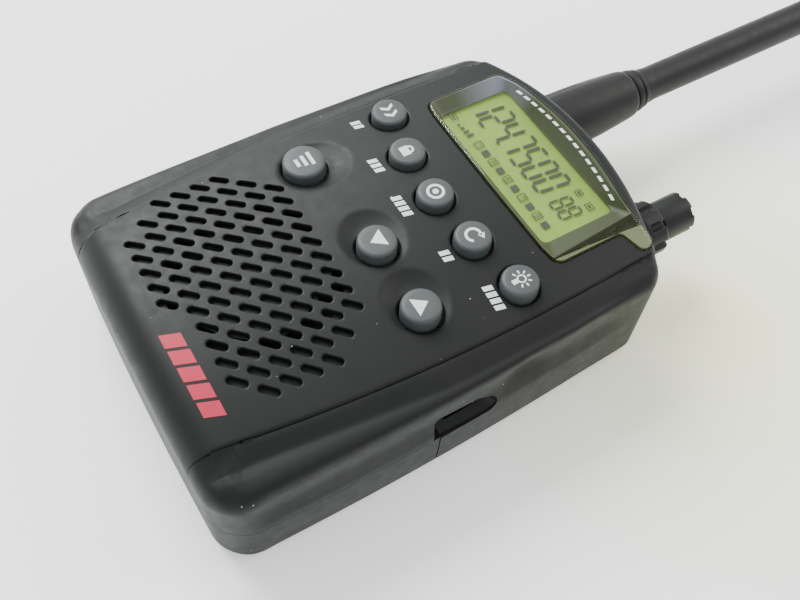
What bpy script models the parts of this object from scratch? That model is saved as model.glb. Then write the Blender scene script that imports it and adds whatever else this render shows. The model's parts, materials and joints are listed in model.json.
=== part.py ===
"""Handheld airband receiver, lying on its back: two case shells, a slide-off battery cover, a display
window, eight sprung keys, a concentric pair of knobs and a screw-on flexible antenna, with the boards,
speaker, cells and fasteners that it holds. +X is the radio's right, +Y its antenna end, +Z out of its face.
The origin is the centre of the back face. Sizes below are in millimetres."""

import math

import bmesh
import bpy
from mathutils import Matrix, Vector

MM = 0.001
GAP = 0.3  # between pieces that rest on each other

# The body's plan outline: large arcs for the sides and ends, joined by tangent corner arcs.
HALF_WIDTH = 29.3
BOTTOM_Y = -40.1
TOP_Y = 41.3
DEPTH = 24.0
WIDEST_Y = -16.0
SIDE_ARC = 650.0
TOP_ARC = 75.0
BOTTOM_ARC = 700.0
TOP_CORNER = 5.5
BOTTOM_CORNER = 8.0
CROWN = 0.0042  # the face falls by CROWN * x * x towards the sides
SIDE_EDGE = 4.0
BOTTOM_EDGE = 6.5
TOP_EDGE = 1.8
BACK_EDGE = 2.0
INNER_EDGE = 0.6
WALL = 2.0
FACE_WALL = 2.2
BACK_WALL = 1.6

# The front shell is the panel between the two bowed parting lines; it wraps over both ends to SPLIT_Z.
PANEL_HALF = 24.2
PANEL_WIDEST_Y = 10.0
PANEL_BOW_BELOW = 0.00165
PANEL_BOW_ABOVE = 0.0009
SPLIT_Z = 12.0
PARTING_GAP = 0.3

# The battery bay lies across the width, at the bottom end.
COVER_TOP_Z = 9.7
COVER_END_Y = -4.7
BAY_WALL_Y = -3.0
BAY_LIP = 0.4
BAY_CEILING_Z = 16.3
BAY_CEILING_TOP_Z = 17.2
CELL_R = 7.1
CELL_LENGTH = 50.2
CELL_Z = 9.0
CELL_YS = (-28.7, -13.9)
NOTCH_Y = (-6.0, 5.4)
NOTCH_Z = (9.3, 14.4)
NOTCH_DEPTH = 1.4

# The display window, its tab, and the stack below it.
WINDOW_HALF = 18.9
WINDOW_BOTTOM_Y = 20.0
WINDOW_TOP_Y = 38.7
WINDOW_BOTTOM_SAG = 1.0
WINDOW_TOP_SAG = 2.1
WINDOW_CORNER = 2.0
WINDOW_RAISE = 0.7
WINDOW_UNDER_Z = 21.5
TAB_END_X = 22.7
TAB_Y = (34.2, 37.2)
LCD_CENTRE = (-1.0, 29.0)
LCD_SIZE = (32.6, 15.6)

# Keys: name, centre and radius. The row of five bows over the speaker.
KEY_ROW_Y = 11.3
KEY_ROW_BOW = 0.0084
KEY_RAISE = 1.6
KEY_FOOT_Z = 19.0
KEY_FLANGE = 0.6
KEY_CLEARANCE = 0.35
ROW_KEYS = (("scan", -19.0), ("lock", -9.5), ("monitor", 0.0), ("recall", 9.5), ("lamp", 19.0))
SMALL_KEY_R = 2.95
KEYS = [(name, x, KEY_ROW_Y + KEY_ROW_BOW * x * x, SMALL_KEY_R) for name, x in ROW_KEYS]
KEYS += [("function", -15.8, -3.1, 3.45), ("down", 3.6, -1.1, 3.1), ("up", 15.9, -0.9, 3.1)]

# The speaker grille: slots along the diagonals of a square lattice, open in front of the cone.
SLOT_PITCH_X = 3.1
SLOT_PITCH_Y = 3.27
SLOT_A0 = (-20.4, -15.7)
SLOT_ROWS = ((0, 0, 3), (1, -1, 4), (2, -2, 5), (3, -2, 5), (4, -2, 5), (5, -2, 5), (6, -2, 5))
SLOT_ROWS += ((7, -2, 4), (8, -2, 4), (9, -2, 4), (10, -2, 4), (11, -1, 4), (12, 0, 3))
SLOT_LENGTH = 3.2
SLOT_WIDTH = 1.15
SPEAKER = (-0.9, -19.0)
SPEAKER_R = 14.0
OPEN_SLOT_R = 12.4

# The axes of the two things on the top end.
AXIS_Z = 12.0
ANTENNA_X = -11.9
KNOB_X = 14.9
SLEEVE_BASE_R = 5.5
SLEEVE_END_R = 4.5
SLEEVE_Y = (42.2, 62.0)
RING_Y = (62.3, 65.0)
RING_R = 3.7
WHIP_R = 3.15
WHIP_END_Y = 178.0
OUTER_KNOB_R = 4.7
OUTER_KNOB_Y = (42.0, 46.3)
INNER_KNOB_R = 3.5
INNER_KNOB_Y = (46.7, 53.1)

# The jacks: one for an earphone on the top end, one for power in the left side.
EARPHONE_X = 2.4
EARPHONE_R = 2.9
DC_JACK = (-28.9, 14.2, 10.5)
DC_R = 2.9

# Boards, and the screw pillars that stand between the shells.
MAIN_BOARD_Z = 6.0
FRONT_BOARD_Z = 16.0
BOARD = 1.2
BOSSES = ((-21.4, 6.5), (21.4, 6.5), (-21.4, 22.0), (21.4, 22.0))
BOSS_TOP_Z = 9.0
PILLAR_R = 1.9
SCREW_HEAD_R = 1.9
SCREW_SHANK_R = 0.9

# Clear outside the body on every side, for blocks that cut it.
BEYOND_X = 40.0
BEYOND_Y = 60.0
BEYOND_Z = 40.0


def clear_scene():
    for obj in list(bpy.data.objects):
        bpy.data.objects.remove(obj, do_unlink=True)


def material(name, colour, roughness, metallic=0.0, alpha=1.0):
    made = bpy.data.materials.get(name)
    if made:
        return made
    made = bpy.data.materials.new(name)
    made.use_nodes = True
    shader = made.node_tree.nodes["Principled BSDF"]
    shader.inputs["Base Color"].default_value = (*colour, 1.0)
    shader.inputs["Roughness"].default_value = roughness
    shader.inputs["Metallic"].default_value = metallic
    shader.inputs["Alpha"].default_value = alpha
    made.diffuse_color = (*colour, alpha)
    return made


FINISHES = {
    "case": ((0.022, 0.023, 0.024), 0.55),
    "key": ((0.075, 0.083, 0.09), 0.5),
    "knob": ((0.018, 0.018, 0.018), 0.45),
    "antenna_rubber": ((0.02, 0.02, 0.019), 0.5),
    "lens": ((0.62, 0.7, 0.35), 0.05, 0.0, 0.35),
    "mask": ((0.06, 0.075, 0.015), 0.4),
    "lcd": ((0.33, 0.46, 0.09), 0.25),
    "light_guide": ((0.8, 0.85, 0.75), 0.2),
    "led": ((0.75, 0.8, 0.2), 0.3),
    "steel": ((0.55, 0.56, 0.57), 0.3, 1.0),
    "brass": ((0.72, 0.55, 0.25), 0.3, 1.0),
    "board": ((0.02, 0.14, 0.06), 0.45),
    "chip": ((0.02, 0.02, 0.022), 0.4),
    "cone": ((0.03, 0.03, 0.03), 0.8),
    "cloth": ((0.012, 0.012, 0.012), 0.9),
    "mat": ((0.35, 0.36, 0.36), 0.7),
    "cell": ((0.09, 0.2, 0.34), 0.35),
}


def new_object(name, bm, finish, origin=(0.0, 0.0, 0.0), smooth_below=35.0):
    """Turns a bmesh in millimetres into an object in metres whose origin is the given point."""
    bmesh.ops.recalc_face_normals(bm, faces=bm.faces)
    bmesh.ops.translate(bm, vec=-Vector(origin), verts=bm.verts)
    bmesh.ops.scale(bm, vec=(MM, MM, MM), verts=bm.verts)
    mesh = bpy.data.meshes.new(name)
    bm.to_mesh(mesh)
    bm.free()
    mesh.shade_smooth()
    mesh.set_sharp_from_angle(angle=math.radians(smooth_below))
    obj = bpy.data.objects.new(name, mesh)
    obj.location = Vector(origin) * MM
    bpy.context.scene.collection.objects.link(obj)
    if finish:
        mesh.materials.append(material(finish, *FINISHES[finish]))
    return obj


def cutter(name, bm):
    obj = new_object(name, bm, None)
    obj.hide_render = True
    obj.display_type = "WIRE"
    return obj


def boolean(obj, other, operation="DIFFERENCE"):
    step = obj.modifiers.new(operation.lower() + "_" + other.name, "BOOLEAN")
    step.operation = operation
    step.solver = "EXACT"
    step.object = other


def add_box(bm, low, high):
    size = [h - l for l, h in zip(low, high)]
    centre = [(l + h) / 2 for l, h in zip(low, high)]
    bmesh.ops.create_cube(bm, size=1.0, matrix=Matrix.Translation(centre) @ Matrix.Diagonal((*size, 1.0)))


def box(name, low, high, finish, origin=(0.0, 0.0, 0.0)):
    bm = bmesh.new()
    add_box(bm, low, high)
    return new_object(name, bm, finish, origin) if finish else cutter(name, bm)


def outside_box(name, low_y=-BEYOND_Y, high_y=BEYOND_Y, low_z=-BEYOND_Z, high_z=BEYOND_Z):
    """A cutter that reaches past the body wherever no limit is given."""
    return box(name, (-BEYOND_X, low_y, low_z), (BEYOND_X, high_y, high_z), None)


def add_prism(bm, outline, low, high):
    """An upright prism over a plan outline; low and high are heights or functions of x."""
    levels = [level if callable(level) else (lambda x, fixed=level: fixed) for level in (low, high)]
    rings = [[bm.verts.new((x, y, level(x))) for x, y in outline] for level in levels]
    bm.faces.new(rings[0][::-1])
    bm.faces.new(rings[1])
    for i in range(len(outline)):
        j = (i + 1) % len(outline)
        bm.faces.new((rings[0][i], rings[0][j], rings[1][j], rings[1][i]))


def add_turned(bm, profile, centre, axis, segments, ring=False):
    """Revolves (radius, distance along axis) points. A ring profile is a closed loop off the axis."""
    turn = Vector((0, 0, 1)).rotation_difference(Vector(axis)).to_matrix()
    loops = []
    for radius, along in profile:
        count = segments if radius > 0 else 1
        angles = [2 * math.pi * i / segments for i in range(count)]
        spots = [Vector((radius * math.cos(a), radius * math.sin(a), along)) for a in angles]
        loops.append([bm.verts.new(turn @ spot + Vector(centre)) for spot in spots])
    pairs = list(zip(loops, loops[1:]))
    if ring:
        pairs.append((loops[-1], loops[0]))
    for one, two in pairs:
        for i in range(segments):
            j = (i + 1) % segments
            corners = [one[i % len(one)], one[j % len(one)], two[j % len(two)], two[i % len(two)]]
            bm.faces.new(list(dict.fromkeys(corners)))


def turned(name, profile, centre, axis, finish, segments=24, ring=False, origin=None):
    bm = bmesh.new()
    add_turned(bm, profile, centre, axis, segments, ring)
    return new_object(name, bm, finish, origin or centre) if finish else cutter(name, bm)


def rod(name, radius, start, end, centre, axis, finish, segments=24, origin=None):
    profile = [(0, start), (radius, start), (radius, end), (0, end)]
    return turned(name, profile, centre, axis, finish, segments, origin=origin)


def tube(name, outer, inner, start, end, centre, axis, finish, segments=24, origin=None):
    profile = [(inner, start), (outer, start), (outer, end), (inner, end)]
    return turned(name, profile, centre, axis, finish, segments, ring=True, origin=origin)


def circles_meet(one, two, near):
    """Where two circles (centre, radius) cross, at the crossing closest to a point."""
    gap = two[0] - one[0]
    along = (gap.length_squared + one[1] ** 2 - two[1] ** 2) / (2 * gap.length)
    up = math.sqrt(max(one[1] ** 2 - along**2, 0.0))
    foot = one[0] + gap.normalized() * along
    side = Vector((-gap.y, gap.x)).normalized() * up
    return min((foot + side, foot - side), key=lambda spot: (spot - Vector(near)).length)


def outline_arcs():
    """The right half's arcs from bottom centre to top centre: (centre, radius, start angle, end angle)."""
    side = (Vector((HALF_WIDTH - SIDE_ARC, WIDEST_Y)), SIDE_ARC)
    top = (Vector((0, TOP_Y - TOP_ARC)), TOP_ARC)
    bottom = (Vector((0, BOTTOM_ARC + BOTTOM_Y)), BOTTOM_ARC)
    low = circles_meet(
        (side[0], SIDE_ARC - BOTTOM_CORNER), (bottom[0], BOTTOM_ARC - BOTTOM_CORNER), (21, -32)
    )
    high = circles_meet((side[0], SIDE_ARC - TOP_CORNER), (top[0], TOP_ARC - TOP_CORNER), (17, 30))

    def angle(centre, towards):
        return math.atan2(towards.y - centre.y, towards.x - centre.x)

    low_start = angle(bottom[0], low)
    low_end = angle(side[0], low)
    high_start = angle(side[0], high)
    high_end = angle(top[0], high)
    return [
        (bottom[0], BOTTOM_ARC, -math.pi / 2, low_start, 3),
        (low, BOTTOM_CORNER, low_start, low_end, 6),
        (side[0], SIDE_ARC, low_end, high_start, 7),
        (high, TOP_CORNER, high_start, high_end, 6),
        (top[0], TOP_ARC, high_end, math.pi / 2, 4),
    ]


def outline_samples():
    """Points round the whole outline as (arc centre, radius, angle), counter-clockwise from bottom centre."""
    right = []
    for centre, radius, start, end, steps in outline_arcs():
        right += [(centre, radius, start + (end - start) * i / steps) for i in range(steps)]
    right.append((Vector((0, TOP_Y - TOP_ARC)), TOP_ARC, math.pi / 2))
    left = [(Vector((-c.x, c.y)), radius, math.pi - angle) for c, radius, angle in right[1:-1]]
    return right + left[::-1]


def at(sample, inset):
    centre, radius, angle = sample
    return centre + Vector((math.cos(angle), math.sin(angle))) * (radius - inset)


def face_z(x):
    return DEPTH - CROWN * x * x


def edge_radius(sample):
    across, along = math.cos(sample[2]), math.sin(sample[2])
    end = TOP_EDGE if along > 0 else BOTTOM_EDGE
    return SIDE_EDGE * across**2 + end * along**2


def add_body(bm, inset=0.0, floor=0.0, below_face=0.0):
    """The whole body as one closed skin, or the same shape inset on every side, for the hollow."""
    samples = outline_samples()
    rings = []
    radii = [max(edge_radius(s) - inset, INNER_EDGE) for s in samples]
    for lift, tuck in ((0.0, BACK_EDGE * 0.7), (BACK_EDGE * 0.3, BACK_EDGE * 0.2), (BACK_EDGE, 0.0)):
        rings.append([(*at(s, inset + tuck), floor + lift) for s in samples])
    for rise in (0, 30, 60, 90):
        ring = []
        for s, radius in zip(samples, radii):
            inner = at(s, inset + radius)
            drop = radius * (1 - math.sin(math.radians(rise)))
            spot = at(s, inset + radius * (1 - math.cos(math.radians(rise))))
            ring.append((*spot, face_z(inner.x) - below_face - drop))
        rings.append(ring)
    for share in (0.72, 0.4):
        last = [at(s, inset + radius) * share for s, radius in zip(samples, radii)]
        rings.append([(spot.x, spot.y, face_z(spot.x) - below_face) for spot in last])
    loops = [[bm.verts.new(spot) for spot in ring] for ring in rings]
    ends = [bm.verts.new((0, 0, floor)), bm.verts.new((0, 0, DEPTH - below_face))]
    count = len(samples)
    for i in range(count):
        j = (i + 1) % count
        for one, two in zip(loops, loops[1:]):
            bm.faces.new((one[i], one[j], two[j], two[i]))
        bm.faces.new((ends[0], loops[0][j], loops[0][i]))
        bm.faces.new((ends[1], loops[-1][i], loops[-1][j]))


def panel_outline(grow, end_y=60.0, steps=14):
    """The strip between the bowed parting lines, wider by grow on each side."""
    right = []
    for i in range(steps + 1):
        y = -end_y + 2 * end_y * i / steps
        bow = PANEL_BOW_BELOW if y < PANEL_WIDEST_Y else PANEL_BOW_ABOVE
        right.append((PANEL_HALF - bow * (y - PANEL_WIDEST_Y) ** 2 + grow, y))
    return right + [(-x, y) for x, y in reversed(right)]


def window_outline(grow):
    """The window's plan with its tab on the right: bowed top and bottom, and rounded corners."""
    half = WINDOW_HALF + grow
    spots = []

    def corner(x, y, radius, start, end, steps=3):
        for i in range(steps + 1):
            a = math.radians(start + (end - start) * i / steps)
            spots.append((x + radius * math.cos(a), y + radius * math.sin(a)))

    radius = WINDOW_CORNER + grow
    inner_x = half - radius
    low_y = WINDOW_BOTTOM_Y + WINDOW_BOTTOM_SAG
    high_y = WINDOW_TOP_Y - WINDOW_TOP_SAG - WINDOW_CORNER
    corner(-inner_x, low_y + WINDOW_CORNER, radius, 180, 262)
    for x in (-8, 0, 8):
        spots.append((x, WINDOW_BOTTOM_Y + WINDOW_BOTTOM_SAG * (x / WINDOW_HALF) ** 2 - grow))
    corner(inner_x, low_y + WINDOW_CORNER, radius, 278, 360)
    spots.append((half, TAB_Y[0] - 0.6))
    tab_r = (TAB_Y[1] - TAB_Y[0]) / 2 * 0.9
    corner(TAB_END_X - tab_r, (TAB_Y[0] + TAB_Y[1]) / 2, tab_r + grow, -80, 80, 5)
    for x in (14, 7, 0, -7, -14):
        spots.append((x, WINDOW_TOP_Y - WINDOW_TOP_SAG * (x / WINDOW_HALF) ** 2 + grow))
    corner(-inner_x, high_y, radius, 110, 180)
    return spots


def slot_outline(x, y):
    """One slot: a rounded bar lying along the lattice's diagonal."""
    lie = math.atan2(SLOT_PITCH_Y, SLOT_PITCH_X)
    half = (SLOT_LENGTH - SLOT_WIDTH) / 2
    spots = []
    for side in (0, 1):
        for step in range(3):
            a = -math.pi / 2 + math.pi * side + math.pi * step / 2
            along = half * (1 - 2 * side) + SLOT_WIDTH / 2 * math.cos(a)
            across = SLOT_WIDTH / 2 * math.sin(a)
            spots.append(
                (
                    x + along * math.cos(lie) - across * math.sin(lie),
                    y + along * math.sin(lie) + across * math.cos(lie),
                )
            )
    return spots


def open_slots():
    for column, first, last in SLOT_ROWS:
        for row in range(first, last + 1):
            x = SLOT_A0[0] + SLOT_PITCH_X * column
            y = SLOT_A0[1] - SLOT_PITCH_Y * row
            if math.hypot(x - SPEAKER[0], y - SPEAKER[1]) < OPEN_SLOT_R:
                yield x, y


def hollow(name):
    bm = bmesh.new()
    add_body(bm, WALL, BACK_WALL, FACE_WALL)
    return cutter(name, bm)


def end_holes():
    """The holes for the antenna socket, the control's bushing and the earphone jack, in both shells."""
    bm = bmesh.new()
    for x, radius in ((ANTENNA_X, 3.4), (KNOB_X, 3.2), (EARPHONE_X, EARPHONE_R + GAP)):
        add_turned(bm, [(0, 0), (radius, 0), (radius, 9), (0, 9)], (x, 34.5, AXIS_Z), (0, 1, 0), 16)
    return cutter("end_hole_cutter", bm)


def make_front_case(holes):
    bm = bmesh.new()
    add_body(bm)
    shell = new_object("front_case", bm, "case")
    panel = bmesh.new()
    add_prism(panel, panel_outline(-PARTING_GAP / 2), SPLIT_Z + PARTING_GAP / 2, DEPTH + 5)
    boolean(shell, cutter("panel_block", panel), "INTERSECT")
    boolean(shell, hollow("front_hollow"))
    pillars = bmesh.new()
    for x, y in BOSSES:
        foot, top = BOSS_TOP_Z + GAP, face_z(x) - FACE_WALL / 2
        pillar = [(0, foot), (PILLAR_R, foot), (PILLAR_R, top), (0, top)]
        add_turned(pillars, pillar, (x, y, 0), (0, 0, 1), 12)
    boolean(shell, cutter("pillar_block", pillars), "UNION")
    window = bmesh.new()
    add_prism(window, window_outline(0.2), 15.0, DEPTH + 5)
    boolean(shell, cutter("window_cutter", window))
    wells = bmesh.new()
    for _, x, y, radius in KEYS:
        wide = radius + KEY_CLEARANCE
        add_turned(wells, [(0, 15), (wide, 15), (wide, 30), (0, 30)], (x, y, 0), (0, 0, 1), 20)
    for x, y in BOSSES:
        add_turned(wells, [(0, 5), (1.2, 5), (1.2, 16), (0, 16)], (x, y, 0), (0, 0, 1), 8)
    boolean(shell, cutter("well_cutter", wells))
    slots = bmesh.new()
    for x, y in open_slots():
        add_prism(slots, slot_outline(x, y), 15.0, 30.0)
    boolean(shell, cutter("slot_cutter", slots))
    boolean(shell, holes)


def make_rear_case(holes):
    bm = bmesh.new()
    add_body(bm)
    shell = new_object("rear_case", bm, "case")
    panel = bmesh.new()
    add_prism(panel, panel_outline(PARTING_GAP / 2), SPLIT_Z - PARTING_GAP / 2, DEPTH + 5)
    boolean(shell, cutter("panel_cutter", panel))
    upper = hollow("rear_hollow")
    boolean(upper, outside_box("below_ceiling", high_y=BAY_WALL_Y, high_z=BAY_CEILING_TOP_Z))
    boolean(shell, upper)
    bay = hollow("bay_hollow")
    boolean(bay, outside_box("bay_limit", low_y=COVER_END_Y - BAY_LIP))
    boolean(bay, outside_box("bay_lid", low_z=BAY_CEILING_Z))
    boolean(shell, bay)
    boolean(shell, outside_box("cover_space", high_y=COVER_END_Y, high_z=COVER_TOP_Z + GAP))
    notches = bmesh.new()
    for side in (-1, 1):
        inner, outer = sorted((side * (HALF_WIDTH - NOTCH_DEPTH), side * (HALF_WIDTH + 3)))
        add_box(notches, (inner, NOTCH_Y[0], NOTCH_Z[0]), (outer, NOTCH_Y[1], NOTCH_Z[1]))
    boolean(shell, cutter("notch_cutter", notches))
    boolean(shell, holes)
    jack = [(0, -4), (DC_R + GAP, -4), (DC_R + GAP, 8), (0, 8)]
    boolean(shell, turned("dc_hole_cutter", jack, DC_JACK, (1, 0, 0), None, 16))
    wall_holes = bmesh.new()
    bosses = bmesh.new()
    for x, y in BOSSES:
        add_turned(wall_holes, [(0, -2), (2.6, -2), (2.6, 4), (0, 4)], (x, y, 0), (0, 0, 1), 12)
        profile = [(2.2, 0.2), (3.0, 0.2), (3.0, BOSS_TOP_Z), (1.25, BOSS_TOP_Z), (1.25, 4.9), (2.2, 4.9)]
        add_turned(bosses, profile, (x, y, 0), (0, 0, 1), 12, ring=True)
    boolean(shell, cutter("wall_hole_cutter", wall_holes))
    boolean(shell, cutter("boss_block", bosses), "UNION")


def make_battery_cover():
    bm = bmesh.new()
    add_body(bm)
    cover = new_object("battery_cover", bm, "case", (0, COVER_END_Y, 0))
    keep = outside_box("cover_block", high_y=COVER_END_Y - GAP, high_z=COVER_TOP_Z)
    boolean(cover, keep, "INTERSECT")
    boolean(cover, hollow("cover_hollow"))


def make_window():
    bm = bmesh.new()
    add_prism(bm, window_outline(0.0), WINDOW_UNDER_Z, lambda x: face_z(x) + WINDOW_RAISE)
    bmesh.ops.triangulate(bm, faces=[face for face in bm.faces if len(face.verts) > 4])
    new_object("display_window", bm, "lens")
    x, y = LCD_CENTRE
    wide, high = LCD_SIZE[0] / 2, LCD_SIZE[1] / 2
    frame = box("window_mask", (-17.6, 21.6, 21.0), (17.6, 36.0, 21.25), "mask")
    boolean(frame, box("mask_opening", (x - 15, y - 6.6, 20), (x + 15, y + 6.6, 23), None))
    box("lcd_glass", (x - wide, y - high, 19.2), (x + wide, y + high, 20.7), "lcd")
    box("backlight_guide", (x - wide, y - high, 17.5), (x + wide, y + high, 18.9), "light_guide")
    for name, side in (("backlight_led_left", -1), ("backlight_led_right", 1)):
        inner, outer = sorted((x + side * (wide + GAP), x + side * (wide + 1.3)))
        box(name, (inner, y - 1.5, 17.5), (outer, y + 1.5, 18.6), "led")


def make_keys():
    for name, x, y, radius in KEYS:
        top = face_z(x) + KEY_RAISE
        rim = radius + KEY_FLANGE
        profile = [(0, KEY_FOOT_Z), (rim, KEY_FOOT_Z), (rim, KEY_FOOT_Z + KEY_FLANGE)]
        profile += [(radius, KEY_FOOT_Z + KEY_FLANGE), (radius, top - 0.7), (radius - 0.7, top), (0, top)]
        profile = [(r, z - top) for r, z in profile]
        turned("key_" + name, profile, (x, y, top), (0, 0, 1), "key", 24)
    box("keypad_mat", (-19.2, -7.0, 17.5), (19.2, 18.0, 18.1), "mat")


def make_speaker():
    x, y = SPEAKER
    spot, up = (x, y, 0), (0, 0, 1)
    rim = [(7.0, 17.8), (SPEAKER_R, 18.9), (SPEAKER_R, 19.9), (SPEAKER_R - 1.2, 19.9)]
    rim += [(SPEAKER_R - 1.2, 19.2), (7.0, 18.3)]
    turned("speaker_frame", rim, spot, up, "steel", 32, ring=True)
    cone = [(0, 18.9), (3.2, 18.9), (SPEAKER_R - 1.6, 19.6), (SPEAKER_R - 1.6, 19.9), (3.2, 19.2), (0, 19.5)]
    turned("speaker_cone", cone, spot, up, "cone", 32)
    rod("speaker_magnet", 6.6, 17.5, 18.5, spot, up, "steel", 24)
    rod("speaker_cloth", SPEAKER_R - 0.4, 20.2, 20.4, spot, up, "cloth", 32)


def make_boards():
    top = MAIN_BOARD_Z + BOARD
    box("main_board", (-18.0, -2.4, MAIN_BOARD_Z), (18.0, 36.5, top), "board")
    box("front_board", (-19.0, -7.5, FRONT_BOARD_Z), (19.0, 36.0, FRONT_BOARD_Z + BOARD), "board")
    box("board_header", (-14.0, 0.0, top + GAP), (2.0, 2.4, FRONT_BOARD_Z - GAP), "chip")
    box("rf_shield", (-17.5, 12.0, top + GAP), (-2.0, 30.0, top + 3.2), "steel")
    box("receiver_chip", (4.5, 4.5, top + GAP), (14.5, 14.5, top + 1.9), "chip")
    box("audio_chip", (-13.0, 4.5, top + GAP), (-6.0, 8.5, top + 1.8), "chip")
    box("crystal", (4.5, 17.5, top + GAP), (14.5, 21.0, top + 3.4), "steel")


def make_antenna():
    spot, along = (ANTENNA_X, 0, AXIS_Z), (0, 1, 0)
    socket = [
        (1.0, 33.0), (3.7, 33.0), (3.7, 37.1), (3.1, 37.1),
        (3.1, 46.5), (2.4, 46.5), (2.4, 40.0), (1.0, 40.0),
    ]
    turned("antenna_socket", socket, spot, along, "brass", 20, ring=True)
    tube("antenna_nut", 4.2, 3.4, 41.5, 42.7, spot, along, "brass", 18)
    rod("antenna_pin", 0.6, 42.0, 55.0, spot, along, "brass", 12)
    y0, y1 = SLEEVE_Y
    sleeve = [(4.3, y0), (SLEEVE_BASE_R, y0), (SLEEVE_BASE_R, y0 + 4), (SLEEVE_END_R + 0.2, y1 - 1.5)]
    sleeve += [(SLEEVE_END_R, y1), (1.0, y1), (1.0, y0 + 7), (4.3, y0 + 7)]
    turned("antenna_sleeve", sleeve, spot, along, "antenna_rubber", 28, ring=True)
    rod("antenna_ring", RING_R, *RING_Y, spot, along, "antenna_rubber", 24)
    tip = WHIP_END_Y
    whip = [(0, RING_Y[1] + GAP), (WHIP_R, RING_Y[1] + GAP), (WHIP_R, tip - 2), (WHIP_R - 0.6, tip - 0.6)]
    whip += [(WHIP_R - 1.8, tip), (0, tip)]
    turned("antenna_whip", whip, spot, along, "antenna_rubber", 24)


def make_controls():
    spot, along = (KNOB_X, 0, AXIS_Z), (0, 1, 0)
    box("control_body", (KNOB_X - 4.7, 25.5, 8.2), (KNOB_X + 4.7, 34.4, 15.7), "steel")
    tube("control_bushing", 2.9, 2.45, 34.7, 42.6, spot, along, "brass", 20)
    tube("control_nut", 3.9, 3.2, 41.6, 42.6, spot, along, "brass", 18)
    tube("squelch_shaft", 2.15, 1.4, 34.8, OUTER_KNOB_Y[1] - 1.0, spot, along, "brass", 20)
    rod("volume_shaft", 1.1, 34.9, INNER_KNOB_Y[1] - 1.4, spot, along, "brass", 16)
    y0, y1 = OUTER_KNOB_Y
    outer = [(4.1, y0), (OUTER_KNOB_R - 0.2, y0), (OUTER_KNOB_R, y0 + 1), (OUTER_KNOB_R, y1 - 0.5)]
    outer += [(OUTER_KNOB_R - 0.5, y1), (2.4, y1), (2.4, y0 + 2.6), (4.1, y0 + 2.6)]
    turned("squelch_knob", outer, spot, along, "knob", 32, ring=True)
    y0, y1 = INNER_KNOB_Y
    inner = [(0, y1 - 1.0), (1.35, y1 - 1.0), (1.35, y0), (INNER_KNOB_R, y0)]
    inner += [(INNER_KNOB_R, y1 - 0.4), (INNER_KNOB_R - 0.4, y1), (0, y1)]
    turned("volume_knob", inner, spot, along, "knob", 28)


def make_jacks():
    along = (0, 1, 0)
    spot = (EARPHONE_X, 0, AXIS_Z)
    tube("earphone_jack", EARPHONE_R, 1.8, 31.0, 41.4, spot, along, "knob", 20)
    tube("dc_jack", DC_R, 1.7, 0.4, 8.4, DC_JACK, (1, 0, 0), "knob", 20)


def make_cells():
    for name, y, side in (("battery_cell_1", CELL_YS[0], 1), ("battery_cell_2", CELL_YS[1], -1)):
        half = CELL_LENGTH / 2
        profile = [
            (0, -half), (CELL_R, -half), (CELL_R, half - 1.2),
            (2.7, half - 1.2), (2.7, half), (0, half),
        ]
        turned(name, profile, (0, y, CELL_Z), (side, 0, 0), "cell", 28)
        flat_x = side * (CELL_LENGTH / 2 + 0.4)
        inner, outer = sorted((flat_x, flat_x + side * 0.4))
        box(name.replace("cell", "contact"), (inner, y - 4, 5), (outer, y + 4, 13), "steel")
        make_spring(name.replace("cell", "spring"), y, -side)


def make_spring(name, y, side):
    """A short conical coil between the cell's flat end and the bay's wall."""
    wire, turns, steps = 0.22, 2.0, 22
    start = CELL_LENGTH / 2 + 0.55
    curve = bpy.data.curves.new(name, "CURVE")
    curve.dimensions = "3D"
    curve.bevel_depth = wire * MM
    curve.bevel_resolution = 1
    curve.use_fill_caps = True
    spline = curve.splines.new("POLY")
    spline.points.add(steps)
    for i in range(steps + 1):
        share = i / steps
        a = 2 * math.pi * turns * share
        radius = 2.2 + 2.2 * share
        spot = Vector((side * (start + 1.1 * share), y + radius * math.cos(a), CELL_Z + radius * math.sin(a)))
        spline.points[i].co = (*(spot * MM), 1.0)
    obj = bpy.data.objects.new(name, curve)
    bpy.context.scene.collection.objects.link(obj)
    curve.materials.append(material("steel", *FINISHES["steel"]))


def make_screws():
    for number, (x, y) in enumerate(BOSSES, 1):
        head, shank = SCREW_HEAD_R, SCREW_SHANK_R
        profile = [(0, 3.2), (head, 3.2), (head, 4.6), (shank, 4.6), (shank, 14.5), (0, 15.2)]
        turned(f"case_screw_{number}", profile, (x, y, 0), (0, 0, 1), "steel", 12)


def main():
    clear_scene()
    holes = end_holes()
    make_front_case(holes)
    make_rear_case(holes)
    make_battery_cover()
    make_window()
    make_keys()
    make_speaker()
    make_boards()
    make_antenna()
    make_controls()
    make_jacks()
    make_cells()
    make_screws()


main()
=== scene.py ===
"""Looks of a handheld airband receiver lying on its back: fine shells, window, keys, knobs and antenna
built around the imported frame, with procedural materials, a pale floor, soft light and a camera.
+X is the radio's right, +Y its antenna end, +Z out of its face. Sizes are in millimetres."""

import math

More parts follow.
